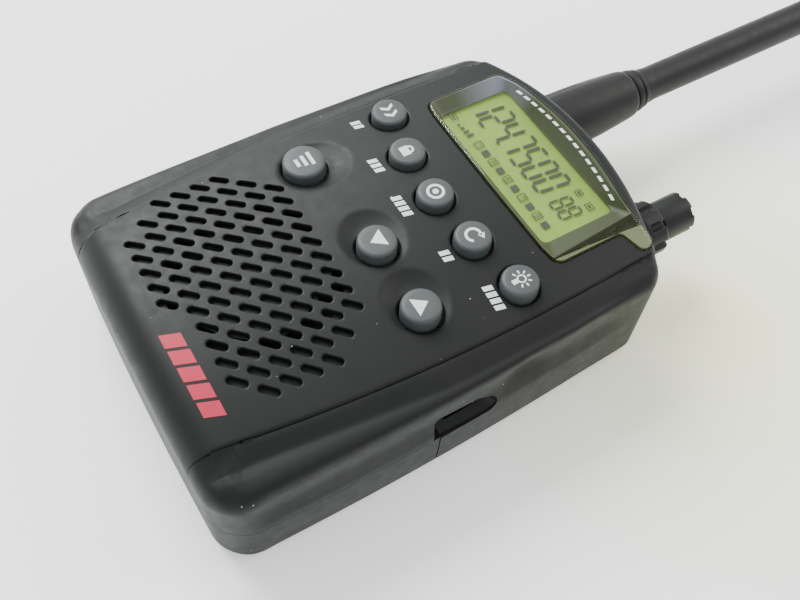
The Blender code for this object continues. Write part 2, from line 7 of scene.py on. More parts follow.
import bmesh
import bpy
import numpy as np
from mathutils import Matrix, Vector
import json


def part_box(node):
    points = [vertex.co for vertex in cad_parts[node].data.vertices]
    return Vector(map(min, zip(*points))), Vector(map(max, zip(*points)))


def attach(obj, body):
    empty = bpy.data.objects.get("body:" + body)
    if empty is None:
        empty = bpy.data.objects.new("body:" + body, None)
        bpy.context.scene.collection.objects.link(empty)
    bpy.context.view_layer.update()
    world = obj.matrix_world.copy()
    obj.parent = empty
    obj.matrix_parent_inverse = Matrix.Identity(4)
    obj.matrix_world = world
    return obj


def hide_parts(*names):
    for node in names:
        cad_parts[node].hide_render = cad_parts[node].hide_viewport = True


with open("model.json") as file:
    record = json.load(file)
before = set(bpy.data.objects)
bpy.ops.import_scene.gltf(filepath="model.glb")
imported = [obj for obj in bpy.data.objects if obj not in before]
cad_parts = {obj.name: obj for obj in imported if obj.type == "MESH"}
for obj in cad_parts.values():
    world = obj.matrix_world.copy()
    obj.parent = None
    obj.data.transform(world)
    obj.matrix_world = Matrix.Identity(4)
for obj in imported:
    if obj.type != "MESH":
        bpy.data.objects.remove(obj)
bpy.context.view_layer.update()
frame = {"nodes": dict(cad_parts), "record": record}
MM = 0.001


def corner(node, high):
    """A CAD node's lowest or highest corner, in millimetres."""
    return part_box(node)[1 if high else 0] / MM


# The body's plan outline and section. The shell stands up to 0.35 mm proud of the frame's on each side, and
# its corners and edges are tighter.
HALF_WIDTH = 29.65
BOTTOM_Y = -40.1
TOP_Y = 41.3
DEPTH = 24.0
WIDEST_Y = -16.0
SIDE_ARC = 650.0
TOP_ARC = 75.0
BOTTOM_ARC = 700.0
TOP_CORNER = 3.8
BOTTOM_CORNER = 6.5
CROWN = 0.0042
SIDE_EDGE = 2.6
BOTTOM_EDGE = 5.6
TOP_EDGE = 1.8
BACK_EDGE = 1.6
WALL = 2.0
FACE_WALL = 2.2
BACK_WALL = 1.6
PANEL_HALF = 24.2
PANEL_WIDEST_Y = 10.0
PANEL_BOW_BELOW = 0.00165
PANEL_BOW_ABOVE = 0.0009
SPLIT_Z = 12.0
HAIRLINE = 0.05
COVER_TOP_Z = 9.7
COVER_END_Y = -4.7
BAY_WALL_Y = -3.0
BAY_CEILING_Z = 16.3
BAY_CEILING_TOP_Z = 17.2
NOTCH_Y = (-6.0, 5.4)
NOTCH_Z = (9.3, 14.6)
AXIS_Z = 12.0
ANTENNA_X = -11.9
KNOB_X = 14.9
EARPHONE_X = 2.4
DC_JACK = (-28.9, 14.2, 10.5)
BOSSES = ((-21.4, 6.5), (21.4, 6.5), (-21.4, 22.0), (21.4, 22.0))

# Keys: name, centre and radius; each rides on a body named after it.
KEY_ROW_Y = 11.3
KEY_ROW_BOW = 0.0084
SMALL_KEY_R = 2.95
ROW_KEYS = (("scan", -19.0), ("lock", -9.5), ("monitor", 0.0), ("recall", 9.5), ("lamp", 19.0))
KEYS = {name: (x, KEY_ROW_Y + KEY_ROW_BOW * x * x, SMALL_KEY_R) for name, x in ROW_KEYS}
KEYS.update({"function": (-15.8, -3.1, 3.45), "down": (3.6, -1.1, 3.1), "up": (15.9, -0.9, 3.1)})
# Scooped dishes round three of them: centre, half lengths and depth.
DISHES = ((-15.4, -1.5, 5.3, 6.0, 0.95), (2.0, -0.9, 5.5, 4.9, 0.85), (14.3, -0.7, 5.5, 4.9, 0.85))

# The grille's slots: a square lattice's diagonals, open inside the speaker's circle and blind outside it.
SLOT_PITCH_X = 3.1
SLOT_PITCH_Y = 3.27
SLOT_A0 = (-20.4, -15.7)
SLOT_ROWS = ((0, 0, 3), (1, -1, 4), (2, -2, 5), (3, -2, 5), (4, -2, 5), (5, -2, 5), (6, -2, 5))
SLOT_ROWS += ((7, -2, 4), (8, -2, 4), (9, -2, 4), (10, -2, 4), (11, -1, 4), (12, 0, 3))
SLOT_LENGTH = 3.2
SLOT_WIDTH = 1.15
SLOT_DEPTH = 0.95
SPEAKER = (-0.9, -19.0)
SPEAKER_OPENING_R = 13.2

WINDOW_HALF = 18.9
WINDOW_BOTTOM_Y = 20.0
WINDOW_TOP_Y = 38.7
WINDOW_BOTTOM_SAG = 1.0
WINDOW_TOP_SAG = 2.1
WINDOW_CORNER = 2.0
WINDOW_RAISE = 0.7
TAB_END_X = 22.9
TAB_Y = (34.2, 37.8)
MASK_END_X = 17.8
LCD_Z = corner("lcd_glass", True).z


# ---------------------------------------------------------------- materials


def nodes_of(name):
    made = bpy.data.materials.new(name)
    made.use_nodes = True
    tree = made.node_tree
    return made, tree, tree.nodes["Principled BSDF"]


def set_inputs(tree, node, inputs):
    """Sets sockets to constants, or links them to the outputs that feed them."""
    for socket, value in inputs.items():
        if isinstance(value, bpy.types.NodeSocket):
            tree.links.new(value, node.inputs[socket])
        else:
            node.inputs[socket].default_value = value


def add_node(tree, kind, inputs, **settings):
    node = tree.nodes.new("ShaderNode" + kind)
    for name, value in settings.items():
        setattr(node, name, value)
    set_inputs(tree, node, inputs)
    return node


def own_place(tree):
    return tree.nodes.new("ShaderNodeTexCoord").outputs["Object"]


def own_axes(tree):
    """The X, Y and Z of a point in the piece's own coordinates, in metres."""
    return add_node(tree, "SeparateXYZ", {"Vector": own_place(tree)}).outputs


def combined(tree, operation, one, two):
    return add_node(tree, "Math", {0: one, 1: two}, operation=operation).outputs[0]


def noise(tree, scale, detail=4.0, roughness=0.6, stretch=None):
    """A noise value that lies in the piece's own coordinates."""
    source = own_place(tree)
    if stretch:
        source = add_node(tree, "Mapping", {"Vector": source, "Scale": stretch}).outputs["Vector"]
    inputs = {"Vector": source, "Scale": scale, "Detail": detail, "Roughness": roughness}
    return add_node(tree, "TexNoise", inputs).outputs["Fac"]


def ranged(tree, value, low, high, from_low=0.3, from_high=0.7):
    limits = {"From Min": from_low, "From Max": from_high, "To Min": low, "To Max": high}
    return add_node(tree, "MapRange", {**limits, "Value": value}).outputs["Result"]


def mixed(tree, factor, one, two):
    node = tree.nodes.new("ShaderNodeMix")
    node.data_type = "RGBA"
    for socket, colour in (("A", one), ("B", two)):
        target = [s for s in node.inputs if s.name == socket and s.type == "RGBA"][0]
        if isinstance(colour, tuple):
            target.default_value = (*colour, 1.0)
        else:
            tree.links.new(colour, target)
    tree.links.new(factor, node.inputs["Factor"])
    return [s for s in node.outputs if s.type == "RGBA"][0]


def bump(tree, shader, height, strength, distance):
    node = add_node(tree, "Bump", {"Height": height, "Strength": strength, "Distance": distance})
    tree.links.new(node.outputs["Normal"], shader.inputs["Normal"])


SPECK_RARITY = 0.62  # the share of the cells that hold no speck


def dust(tree, density_scale, size):
    """1 on a few tiny specks, 0 elsewhere: small cells whose random value is high hold one speck."""
    inputs = {"Vector": own_place(tree), "Scale": density_scale, "Randomness": 1.0}
    cells = add_node(tree, "TexVoronoi", inputs)
    near = ranged(tree, cells.outputs["Distance"], 1.0, 0.0, size * 0.6, size)
    chance = add_node(tree, "SeparateColor", {"Color": cells.outputs["Color"]}).outputs[0]
    return combined(tree, "MULTIPLY", near, combined(tree, "GREATER_THAN", chance, SPECK_RARITY))


SHEEN_TINT = (0.75, 0.82, 1.0, 1.0)


def moulded(name, dark, light, rough, grain=5200.0, depth=0.00001, specks=False, specular=0.5, sheen=0.0):
    """Moulded plastic or rubber: two close shades, uneven gloss and a fine spark-eroded grain."""
    made, tree, shader = nodes_of(name)
    colour = mixed(tree, ranged(tree, noise(tree, 90.0, 3.0), 0.0, 1.0), dark, light)
    if specks:
        colour = mixed(tree, dust(tree, 380.0, 0.05), colour, (0.42, 0.42, 0.38))
    gloss = ranged(tree, noise(tree, 450.0, 3.0), rough - 0.05, rough + 0.05)
    set_inputs(tree, shader, {"Base Color": colour, "Roughness": gloss, "Specular IOR Level": specular})
    set_inputs(tree, shader, {"Sheen Weight": sheen, "Sheen Roughness": 0.4, "Sheen Tint": SHEEN_TINT})
    bump(tree, shader, noise(tree, grain, 3.0, 0.7), 0.5, depth)
    return made


def metal(name, dark, light, rough, stretch=(1.0, 1.0, 12.0)):
    """Plated or brushed metal with drawn lines and slight tarnish."""
    made, tree, shader = nodes_of(name)
    lines = noise(tree, 700.0, 4.0, 0.6, stretch)
    colour = mixed(tree, ranged(tree, lines, 0.0, 1.0), dark, light)
    gloss = ranged(tree, noise(tree, 300.0), rough - 0.08, rough + 0.1)
    set_inputs(tree, shader, {"Base Color": colour, "Roughness": gloss, "Metallic": 1.0})
    bump(tree, shader, lines, 0.25, 0.00002)
    return made


def clear(name, colour, alpha, rough):
    """A clear moulding: mostly seen through, with its surface's own gloss and faint scuffs."""
    made, tree, shader = nodes_of(name)
    tint = mixed(tree, ranged(tree, noise(tree, 60.0), 0.0, 1.0), colour, tuple(c * 0.85 for c in colour))
    gloss = ranged(tree, noise(tree, 90.0), rough, rough + 0.03)
    set_inputs(tree, shader, {"Base Color": tint, "Roughness": gloss})
    set_inputs(tree, shader, {"Alpha": alpha, "Specular IOR Level": 1.0, "IOR": 1.9})
    made.surface_render_method = "BLENDED"
    return made


def printed(name, colour, rough=0.45):
    """Silk-screened ink with a slightly uneven cover."""
    made, tree, shader = nodes_of(name)
    worn = ranged(tree, noise(tree, 2500.0, 3.0), 0.0, 1.0, 0.25, 0.75)
    ink = mixed(tree, worn, tuple(c * 0.86 for c in colour), colour)
    set_inputs(tree, shader, {"Base Color": ink, "Roughness": rough})
    bump(tree, shader, noise(tree, 4000.0), 0.2, 0.00001)
    return made


def display_material():
    """The liquid crystal: yellow-green in two shades, with a soft mottle and a faint painted glow that
    brightens it.
    """
    made, tree, shader = nodes_of("display_green")
    broad = ranged(tree, noise(tree, 55.0, 2.0), 0.0, 1.0)
    fine = ranged(tree, noise(tree, 900.0, 3.0), 0.0, 0.35)
    base = mixed(tree, broad, (0.165, 0.285, 0.022), (0.23, 0.365, 0.04))
    mottled = mixed(tree, fine, base, (0.115, 0.195, 0.02))
    # Painted light: a faint glow in the plate's own colour brightens it in place of the room's light falling
    # on it.
    set_inputs(tree, shader, {"Base Color": mottled, "Emission Color": base})
    set_inputs(tree, shader, {"Emission Strength": 0.16, "Roughness": 0.35})
    return made


def mask_material():
    """Dark olive ink under the window, with a pale lilac painted reflection in its far left corner."""
    made, tree, shader = nodes_of("mask_olive")
    place = own_axes(tree)
    towards_left = ranged(tree, place["X"], 1.0, 0.0, -0.0165, -0.0095)
    towards_top = ranged(tree, place["Y"], 0.0, 0.8, 0.0265, 0.0345)
    # Painted reflection: the ink turns pale lilac towards the far left and the top, where the window shows a
    # reflection.
    lilac_painted_reflection = combined(tree, "MULTIPLY", towards_left, towards_top)
    ink = mixed(tree, ranged(tree, noise(tree, 60.0), 0.0, 1.0), (0.021, 0.028, 0.005), (0.027, 0.035, 0.007))
    set_inputs(tree, shader, {"Base Color": mixed(tree, lilac_painted_reflection, ink, (0.22, 0.22, 0.30)), "Roughness": 0.5})
    return made


def board_material():
    """Solder mask with paler traces along X."""
    made, tree, shader = nodes_of("board_green")
    along = ranged(tree, noise(tree, 260.0, 1.0, 0.3, (1.0, 9.0, 1.0)), 0.0, 1.0, 0.48, 0.52)
    base = mixed(tree, along, (0.008, 0.075, 0.03), (0.02, 0.15, 0.06))
    set_inputs(tree, shader, {"Base Color": base, "Roughness": 0.35})
    bump(tree, shader, along, 0.5, 0.00003)
    return made


def cell_material():
    """A printed battery sleeve: dark blue, with a plain coloured band at its +X end."""
    made, tree, shader = nodes_of("cell_sleeve")
    band = ranged(tree, own_axes(tree)["X"], 0.0, 1.0, 0.0120, 0.0122)
    base = mixed(tree, band, (0.02, 0.05, 0.12), (0.5, 0.33, 0.06))
    scuffed = mixed(tree, ranged(tree, noise(tree, 500.0), 0.0, 0.25), base, (0.3, 0.3, 0.3))
    set_inputs(tree, shader, {"Base Color": scuffed, "Roughness": 0.3})
    return made


def make_materials():
    black, black_light = (0.0058, 0.0066, 0.0055), (0.0078, 0.0085, 0.0072)
    knob, knob_light = (0.0058, 0.0064, 0.0054), (0.0085, 0.009, 0.0078)
    rubber, rubber_light = (0.0078, 0.0083, 0.007), (0.0105, 0.011, 0.0095)
    return {
        "case": moulded("case_soft_black", black, black_light, 0.52, specks=True, specular=0.24, sheen=0.04),
        "key": moulded("key_slate", (0.052, 0.059, 0.057), (0.062, 0.070, 0.067), 0.45, 3800.0, specular=0.3),
        "knob": moulded("knob_black", knob, knob_light, 0.42, specular=0.28),
        "antenna_rubber": moulded("antenna_rubber", rubber, rubber_light, 0.5, specular=0.3),
        "lens": clear("window_clear", (0.20, 0.225, 0.10), 0.07, 0.03),
        "mask": mask_material(),
        "tab": printed("tab_khaki", (0.105, 0.125, 0.05), 0.4),
        "lcd": display_material(),
        "segment": printed("segment_dark", (0.012, 0.020, 0.007), 0.5),
        "white": printed("ink_white", (0.7, 0.71, 0.7)),
        "red": printed("ink_red", (0.45, 0.006, 0.036), 0.6),
        "light_guide": moulded("light_guide_milk", (0.62, 0.66, 0.55), (0.74, 0.78, 0.68), 0.3),
        "led": moulded("led_amber", (0.55, 0.6, 0.16), (0.68, 0.72, 0.2), 0.25),
        "steel": metal("steel_plate", (0.42, 0.43, 0.44), (0.6, 0.61, 0.62), 0.32),
        "brass": metal("brass_turned", (0.55, 0.40, 0.17), (0.72, 0.55, 0.26), 0.3),
        "board": board_material(),
        "chip": moulded("chip_epoxy", (0.014, 0.014, 0.015), (0.024, 0.024, 0.026), 0.45),
        "cone": moulded("cone_paper", (0.020, 0.020, 0.021), (0.034, 0.034, 0.034), 0.85, 2200.0, 0.00004),
        "cloth": moulded("speaker_felt", (0.004, 0.004, 0.004), (0.007, 0.007, 0.007), 0.95, 2600.0, 0.00005),
        "mat": moulded("keypad_silicone", (0.28, 0.29, 0.29), (0.36, 0.37, 0.37), 0.6),
        "cell": cell_material(),
    }


# ---------------------------------------------------------------- mesh helpers


def new_piece(name, bm, finish=None, smooth_below=32.0):
    """Turns a bmesh in millimetres into an object in metres."""
    bmesh.ops.recalc_face_normals(bm, faces=bm.faces)
    bmesh.ops.scale(bm, vec=(MM, MM, MM), verts=bm.verts)
    mesh = bpy.data.meshes.new(name)
    bm.to_mesh(mesh)
    bm.free()
    mesh.shade_smooth()
    mesh.set_sharp_from_angle(angle=math.radians(smooth_below))
    obj = bpy.data.objects.new(name, mesh)
    bpy.context.scene.collection.objects.link(obj)
    if finish:
        mesh.materials.append(MATERIALS[finish])
    return obj


def cut(obj, bm, operation="DIFFERENCE"):
    """Applies one Boolean with a bmesh in millimetres and removes the helper."""
    helper = new_piece("helper", bm)
    step = obj.modifiers.new("cut", "BOOLEAN")
    step.operation = operation
    step.solver = "MANIFOLD"
    step.object = helper
    settle(obj)
    bpy.data.objects.remove(helper, do_unlink=True)


def settle(obj):
    """Makes the evaluated shape the object's own mesh."""
    bpy.context.view_layer.update()
    graph = bpy.context.evaluated_depsgraph_get()
    mesh = bpy.data.meshes.new_from_object(obj.evaluated_get(graph))
    obj.modifiers.clear()
    obj.data = mesh


def coat(obj, finish, degrees=32.0):
    """Gives a cut piece its one material and its smooth shading."""
    obj.data.materials.clear()
    obj.data.materials.append(MATERIALS[finish])
    obj.data.shade_smooth()
    obj.data.set_sharp_from_angle(angle=math.radians(degrees))


def show(obj, body, slot, *nodes):
    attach(obj, body)
    if nodes:
        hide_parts(*nodes)
    return obj


def add_loops(bm, loops, cap=True):
    """Joins closed loops of equal length into a skin; the first and last are capped."""
    rings = [[bm.verts.new(spot) for spot in loop] for loop in loops]
    for one, two in zip(rings, rings[1:]):
        for i in range(len(one)):
            j = (i + 1) % len(one)
            bm.faces.new((one[i], one[j], two[j], two[i]))
    if cap:
        bm.faces.new(rings[0][::-1])
        bm.faces.new(rings[-1])
    return rings


def add_box(bm, low, high, move=Matrix()):
    size = [h - l for l, h in zip(low, high)]
    centre = [(l + h) / 2 for l, h in zip(low, high)]
    place = move @ Matrix.Translation(centre) @ Matrix.Diagonal((*size, 1.0))
    bmesh.ops.create_cube(bm, size=1.0, matrix=place)


def slab(y_low=-60, y_high=60, z_low=-5, z_high=40):
    """A cutter that is wider than the body, between two heights and two places along it."""
    bm = bmesh.new()
    add_box(bm, (-40, y_low, z_low), (40, y_high, z_high))
    return bm


def add_turned(bm, profile, centre, axis, segments, wave=None, ring=False):
    """Revolves (radius, along) points; wave(along, angle) is added to the radius."""
    turn = Vector((0, 0, 1)).rotation_difference(Vector(axis)).to_matrix()
    loops = []
    for radius, along in profile:
        count = segments if radius > 0 else 1
        loop = []
        for i in range(count):
            a = 2 * math.pi * i / segments
            r = radius + (wave(along, a) if wave and radius > 0 else 0.0)
            spot = Vector((r * math.cos(a), r * math.sin(a), along))
            loop.append(bm.verts.new(turn @ spot + Vector(centre)))
        loops.append(loop)
    pairs = list(zip(loops, loops[1:]))
    if ring:
        pairs.append((loops[-1], loops[0]))
    for one, two in pairs:
        for i in range(segments):
            j = (i + 1) % segments
            corners = [one[i % len(one)], one[j % len(one)], two[j % len(two)], two[i % len(two)]]
            bm.faces.new(list(dict.fromkeys(corners)))


def arc_points(centre, radius, start, end, steps):
    angles = [math.radians(start + (end - start) * i / steps) for i in range(steps + 1)]
    return [(centre[0] + radius * math.cos(a), centre[1] + radius * math.sin(a)) for a in angles]


# ---------------------------------------------------------------- the body's outline and surfaces


def circles_meet(one, two, near):
    gap = two[0] - one[0]
    along = (gap.length_squared + one[1] ** 2 - two[1] ** 2) / (2 * gap.length)
    up = math.sqrt(max(one[1] ** 2 - along**2, 0.0))
    foot = one[0] + gap.normalized() * along
    side = Vector((-gap.y, gap.x)).normalized() * up
    return min((foot + side, foot - side), key=lambda spot: (spot - Vector(near)).length)


def outline_samples(fine):
    """Points round the outline as (arc centre, radius, angle), counter-clockwise from bottom centre."""
    side = Vector((HALF_WIDTH - SIDE_ARC, WIDEST_Y))
    top = Vector((0, TOP_Y - TOP_ARC))
    bottom = Vector((0, BOTTOM_ARC + BOTTOM_Y))
    low = circles_meet((side, SIDE_ARC - BOTTOM_CORNER), (bottom, BOTTOM_ARC - BOTTOM_CORNER), (21, -32))
    high = circles_meet((side, SIDE_ARC - TOP_CORNER), (top, TOP_ARC - TOP_CORNER), (17, 30))

    def angle(centre, towards):
        return math.atan2(towards.y - centre.y, towards.x - centre.x)

    arcs = [
        (bottom, BOTTOM_ARC, -math.pi / 2, angle(bottom, low), 10 * fine),
        (low, BOTTOM_CORNER, angle(bottom, low), angle(side, low), 14 * fine),
        (side, SIDE_ARC, angle(side, low), angle(side, high), 50 * fine),
        (high, TOP_CORNER, angle(side, high), angle(top, high), 12 * fine),
        (top, TOP_ARC, angle(top, high), math.pi / 2, 12 * fine),
    ]
    right = []
    for centre, radius, start, end, steps in arcs:
        right += [(centre, radius, start + (end - start) * i / steps) for i in range(steps)]
    right.append((top, TOP_ARC, math.pi / 2))
    left = [(Vector((-c.x, c.y)), radius, math.pi - a) for c, radius, a in right[1:-1]]
    return right + left[::-1]


def at(sample, inset):
    centre, radius, angle = sample
    return centre + Vector((math.cos(angle), math.sin(angle))) * (radius - inset)


def face_z(x):
    return DEPTH - CROWN * x * x


def edge_radius(sample):
    across, along = math.cos(sample[2]), math.sin(sample[2])
    end = TOP_EDGE if along > 0 else BOTTOM_EDGE
    return SIDE_EDGE * across**2 + end * along**2


def panel_half(y):
    bow = PANEL_BOW_BELOW if y < PANEL_WIDEST_Y else PANEL_BOW_ABOVE
    return PANEL_HALF - bow * (y - PANEL_WIDEST_Y) ** 2


def ease(value, low, high):
    share = min(max((value - low) / (high - low), 0.0), 1.0)
    return share * share * (3 - 2 * share)


def spread(path, count):
    """Points at equal distances along a polyline."""
    path = np.array(path, float)
    steps = np.r_[0.0, np.cumsum(np.hypot(*np.diff(path, axis=0).T))]
    places = np.linspace(0.0, steps[-1], count)
    return np.stack([np.interp(places, steps, path[:, k]) for k in (0, 1)], axis=1)


def curved(points, per_span=8):
    """A smooth Catmull-Rom line through the points."""
    points = [np.array(p, float) for p in points]
    ends = [2 * points[0] - points[1], *points, 2 * points[-1] - points[-2]]
    line = []
    for p0, p1, p2, p3 in zip(ends, ends[1:], ends[2:], ends[3:]):
        for i in range(per_span):
            t = i / per_span
            line.append(
                0.5 * (2 * p1 + (p2 - p0) * t + (2 * p0 - 5 * p1 + 4 * p2 - p3) * t**2
                       + (3 * p1 - p0 - 3 * p2 + p3) * t**3)
            )
    return [tuple(p) for p in line] + [tuple(points[-1])]


def plain_section(sample, reach, inset=0.0, below=0.0):
    """(inset from the outline, height) from the side wall's foot over the rounded edge and in by reach."""
    radius = max(edge_radius(sample) - inset, 0.6)
    inner = at(sample, inset + radius)
    top = face_z(inner.x) - below
    path = [(inset, BACK_EDGE), (inset, top - radius)]
    for rise in range(10, 91, 10):
        a = math.radians(rise)
        path.append((inset + radius * (1 - math.cos(a)), top - radius * (1 - math.sin(a))))
    for share in (0.25, 0.5, 0.75, 1.0):
        d = inset + radius + (reach - inset - radius) * share
        path.append((d, face_z(at(sample, d).x) - below))
    return path


STEP_DOWN = 0.42  # from the panel to the shoulder beside it
CREASE_RISE = (20.5, 0.6)  # the crease's height at the bottom end and its fall towards the middle


def shoulder_section(sample, reach):
    """The side's section: shoulder, crease, ridge, concave band and the flare down to the seam."""
    spot = at(sample, 0.0)
    y = spot.y
    slant = abs(math.cos(sample[2]))
    groove = (abs(spot.x) - panel_half(y)) / slant
    crease_x = min(24.3 + 0.105 * (y + 32), 27.4)
    crease = max((abs(spot.x) - crease_x) / slant, 1.3)
    crease_z = CREASE_RISE[0] - CREASE_RISE[1] * ease(y, -33, 2)
    points = [(0.2, BACK_EDGE), (0.03, 6.0), (0.0, 9.6), (0.05, 10.8), (0.4, 12.4), (0.72, 14.3)]
    points += [(0.62, 16.2), (0.5, crease_z - 2.5), (crease * 0.12 + 0.2, crease_z - 1.15)]
    points.append((crease * 0.33, crease_z - 0.36))
    points += [(crease * 0.6, crease_z - 0.05), (crease - 0.3, crease_z), (crease + 0.15, crease_z + 0.05)]
    top = face_z(spot.x - math.copysign(groove, spot.x)) - STEP_DOWN
    points += [((crease + groove) / 2, (crease_z + top) / 2 + 0.12), (groove - 0.4, top), (groove + 0.6, top)]
    points += [(reach, top - 0.3)]
    return curved(points)


def corner_drop(x, y):
    """How far the crown lies below the plain one beside the panel, where the sides' relief has faded."""
    past = abs(x) - panel_half(y)
    if past < 0:
        return 0.0
    fall = float(np.interp(past, (0.0, 3.3, 4.9, 6.2, 7.5), (STEP_DOWN, 0.98, 0.76, 0.86, 1.0)))
    return fall * ease(y, -39.4, -36.2) * (1 - ease(y, 38.0, 40.5))


def side_share(sample):
    """1 where the side's relief is full, 0 round the corners and ends."""
    spot = at(sample, 0.0)
    along = abs(math.cos(sample[2]))
    return ease(spot.y, -38.0, -31.0) * (1 - ease(spot.y, 22.0, 35.0)) * ease(along, 0.9, 0.995)


SECTION_STEPS = 84
REACH = 9.5


def add_fine_skin(bm, fine=3):
    """The whole body's skin with the relief on its sides."""
    samples = outline_samples(fine)
    rings = [[] for _ in range(SECTION_STEPS)]
    feet = [[] for _ in range(5)]
    inner = [[] for _ in range(2)]
    for s in samples:
        share = side_share(s)
        path = spread(plain_section(s, REACH), SECTION_STEPS)
        if share > 0:
            path = path * (1 - share) + spread(shoulder_section(s, REACH), SECTION_STEPS) * share
        foot = path[0][0]
        for k, rise in enumerate((0, 22, 45, 67, 85)):
            a = math.radians(rise)
            spot = at(s, foot + BACK_EDGE * (1 - math.sin(a)))
            feet[k].append((*spot, BACK_EDGE * (1 - math.cos(a))))
        for ring, (d, z) in zip(rings, path):
            spot = at(s, d)
            z -= (1 - share) * corner_drop(spot.x, spot.y) * ease(z, 14.0, 19.0)
            hollow = 0.9 * math.exp(-((abs(spot.x) - 28.9) / 2.2) ** 2 - ((spot.y - 10.5) / 3.6) ** 2)
            hollow *= math.exp(-(((z - 15.0) / 2.6) ** 2))
            ring.append((spot.x - math.copysign(hollow, spot.x), spot.y, z))
        end_z = path[-1][1]
        for ring, shrink in zip(inner, (0.7, 0.35)):
            spot = at(s, REACH) * shrink
            ring.append((spot.x, spot.y, end_z))
    loops = feet + rings + inner
    made = add_loops(bm, loops, cap=False)
    low = bm.verts.new((0, 0, 0))
    high = bm.verts.new((0, 0, DEPTH - 0.5))
    for i in range(len(samples)):
        j = (i + 1) % len(samples)
        bm.faces.new((low, made[0][j], made[0][i]))
        bm.faces.new((high, made[-1][i], made[-1][j]))


def hollow_mesh(inset=WALL, floor=BACK_WALL, below=FACE_WALL):
    """The body's inside as one closed skin."""
    bm = bmesh.new()
    samples = outline_samples(1)
    loops = [[(*at(s, inset + 1.0), floor) for s in samples], [(*at(s, inset), floor + 1.0) for s in samples]]
    for k in range(8):
        ring = []
        for s in samples:
            d, z = spread(plain_section(s, 9.0, inset, below), 16)[4 + k * 11 // 7]
            ring.append((*at(s, d), z))
        loops.append(ring)
    for shrink in (0.6, 0.25):
        ring = []
        for s in samples:
            spot = at(s, 9.0) * shrink
            ring.append((spot.x, spot.y, face_z(spot.x) - below))
        loops.append(ring)
    add_loops(bm, loops)
    return bm


def panel_prism(grow, low, high=30.0, steps=48, end_y=60.0):
    bm = bmesh.new()
    right = []
    for i in range(steps + 1):
        y = -end_y + 2 * end_y * i / steps
        right.append((panel_half(y) + grow, y))
    outline = right + [(-x, y) for x, y in reversed(right)]
    add_loops(bm, [[(x, y, z) for x, y in outline] for z in (low, high)])
    return bm


# ---------------------------------------------------------------- the front panel


def dish_depth(x, y):
    """How far the face is scooped out at a point."""
    deepest = 0.0
    for cx, cy, rx, ry, depth in DISHES:
        away = math.hypot((x - cx) / rx, (y - cy) / ry)
        if away < 1.0:
            deepest = max(deepest, depth * (1 - away**2) ** 0.8 if away > 0.55 else depth * 0.75)
    return deepest


def front_z(x, y):
    return face_z(x) - dish_depth(x, y)


def end_lines():
    """Where the outline's two ends lie: y of the bottom and of the top, against x."""
    spots = [at(s, 0.0) for s in outline_samples(6)]
    low = sorted((p.x, p.y) for p in spots if p.y < -33)
    high = sorted((p.x, p.y) for p in spots if p.y > 34)
    return np.array(low), np.array(high)


def panel_layer(columns, inset, below, ends):
    """One layer of the panel as rows of points, from the bottom wall over the face to the top wall."""
    low, high = ends
    rows = []
    stations = [("wall", k / 6) for k in range(6)] + [("low", k / 14) for k in range(14)]
    stations += [("face", k / 170) for k in range(170)] + [("high", k / 8) for k in range(8)]
    stations += [("drop", k / 6) for k in range(7)]
    for kind, share in stations:
        row = []
        for s, sink, tuck in columns:
            x, y = s * 22.0, -40.0 if kind in ("wall", "low") else 40.0
            for _ in range(3):
                y_low = np.interp(x, *low.T) + inset
                y_high = np.interp(x, *high.T) - inset
                r_low = max(BOTTOM_EDGE - inset, 0.6)
                r_high = max(TOP_EDGE - inset, 0.6)
                top = face_z(x) - below
                if kind == "wall":
                    y, z = y_low, SPLIT_Z + (top - r_low - SPLIT_Z) * share
                elif kind == "low":
                    a = math.pi / 2 * share
                    y, z = y_low + r_low * (1 - math.cos(a)), top - r_low * (1 - math.sin(a))
                elif kind == "face":
                    y, z = y_low + r_low + (y_high - r_high - y_low - r_low) * share, top
                elif kind == "high":
                    a = math.pi / 2 * (1 - share)
                    y, z = y_high - r_high * (1 - math.cos(a)), top - r_high * (1 - math.sin(a))
                else:
                    y, z = y_high, top - r_high - (top - r_high - SPLIT_Z) * share
                x = s * (panel_half(y) - HAIRLINE) - math.copysign(tuck, s)
            if kind == "face" and below == 0:
                z -= dish_depth(x, y)
            row.append((x, y, z - (sink if kind == "face" else sink * 0.6)))
        rows.append(row)
    return rows


def make_front_case():
    edge = 0.35
    left = [(-1.0, 1.6, 0.0)]
    for a in (0.0, 0.4, 0.8, 1.2, math.pi / 2):
        left.append((-1.0, edge * (1 - math.sin(a)), edge * (1 - math.cos(a))))
    middle = [(-1 + 2 * k / 118, 0.0, 0.0) for k in range(2, 117)]
    right = [(1.0, sink, tuck) for _, sink, tuck in reversed(left)]
    columns = left + middle + right
    ends = end_lines()
    outer = panel_layer(columns, 0.0, 0.0, ends)
    inner = panel_layer([(s, 0.0, 0.6) for s, _, _ in columns], WALL, FACE_WALL, ends)
    bm = bmesh.new()
    rings = [o + i[::-1] for o, i in zip(outer, inner)]
    add_loops(bm, rings)
    shell = new_piece("front_shell", bm)
    cut(shell, speaker_opening())
    cut(shell, wells_and_window())
    cut(shell, slots())
    cut(shell, end_holes())
    cut(shell, pillars(), "UNION")
    coat(shell, "case")
    return show(shell, "case", "case", "front_case")


def add_flared(bm, outline, depth, flare=0.16, over=1.0):
    """A cutter that widens at the surface. outline(grow) gives its plan; it follows the face's height."""
    levels = [(flare, over), (flare, 0.0), (flare * 0.45, -flare * 0.25), (0.0, -flare), (0.0, -depth)]
    add_loops(bm, [[(x, y, front_z(x, y) + lift) for x, y in outline(grow)] for grow, lift in levels])


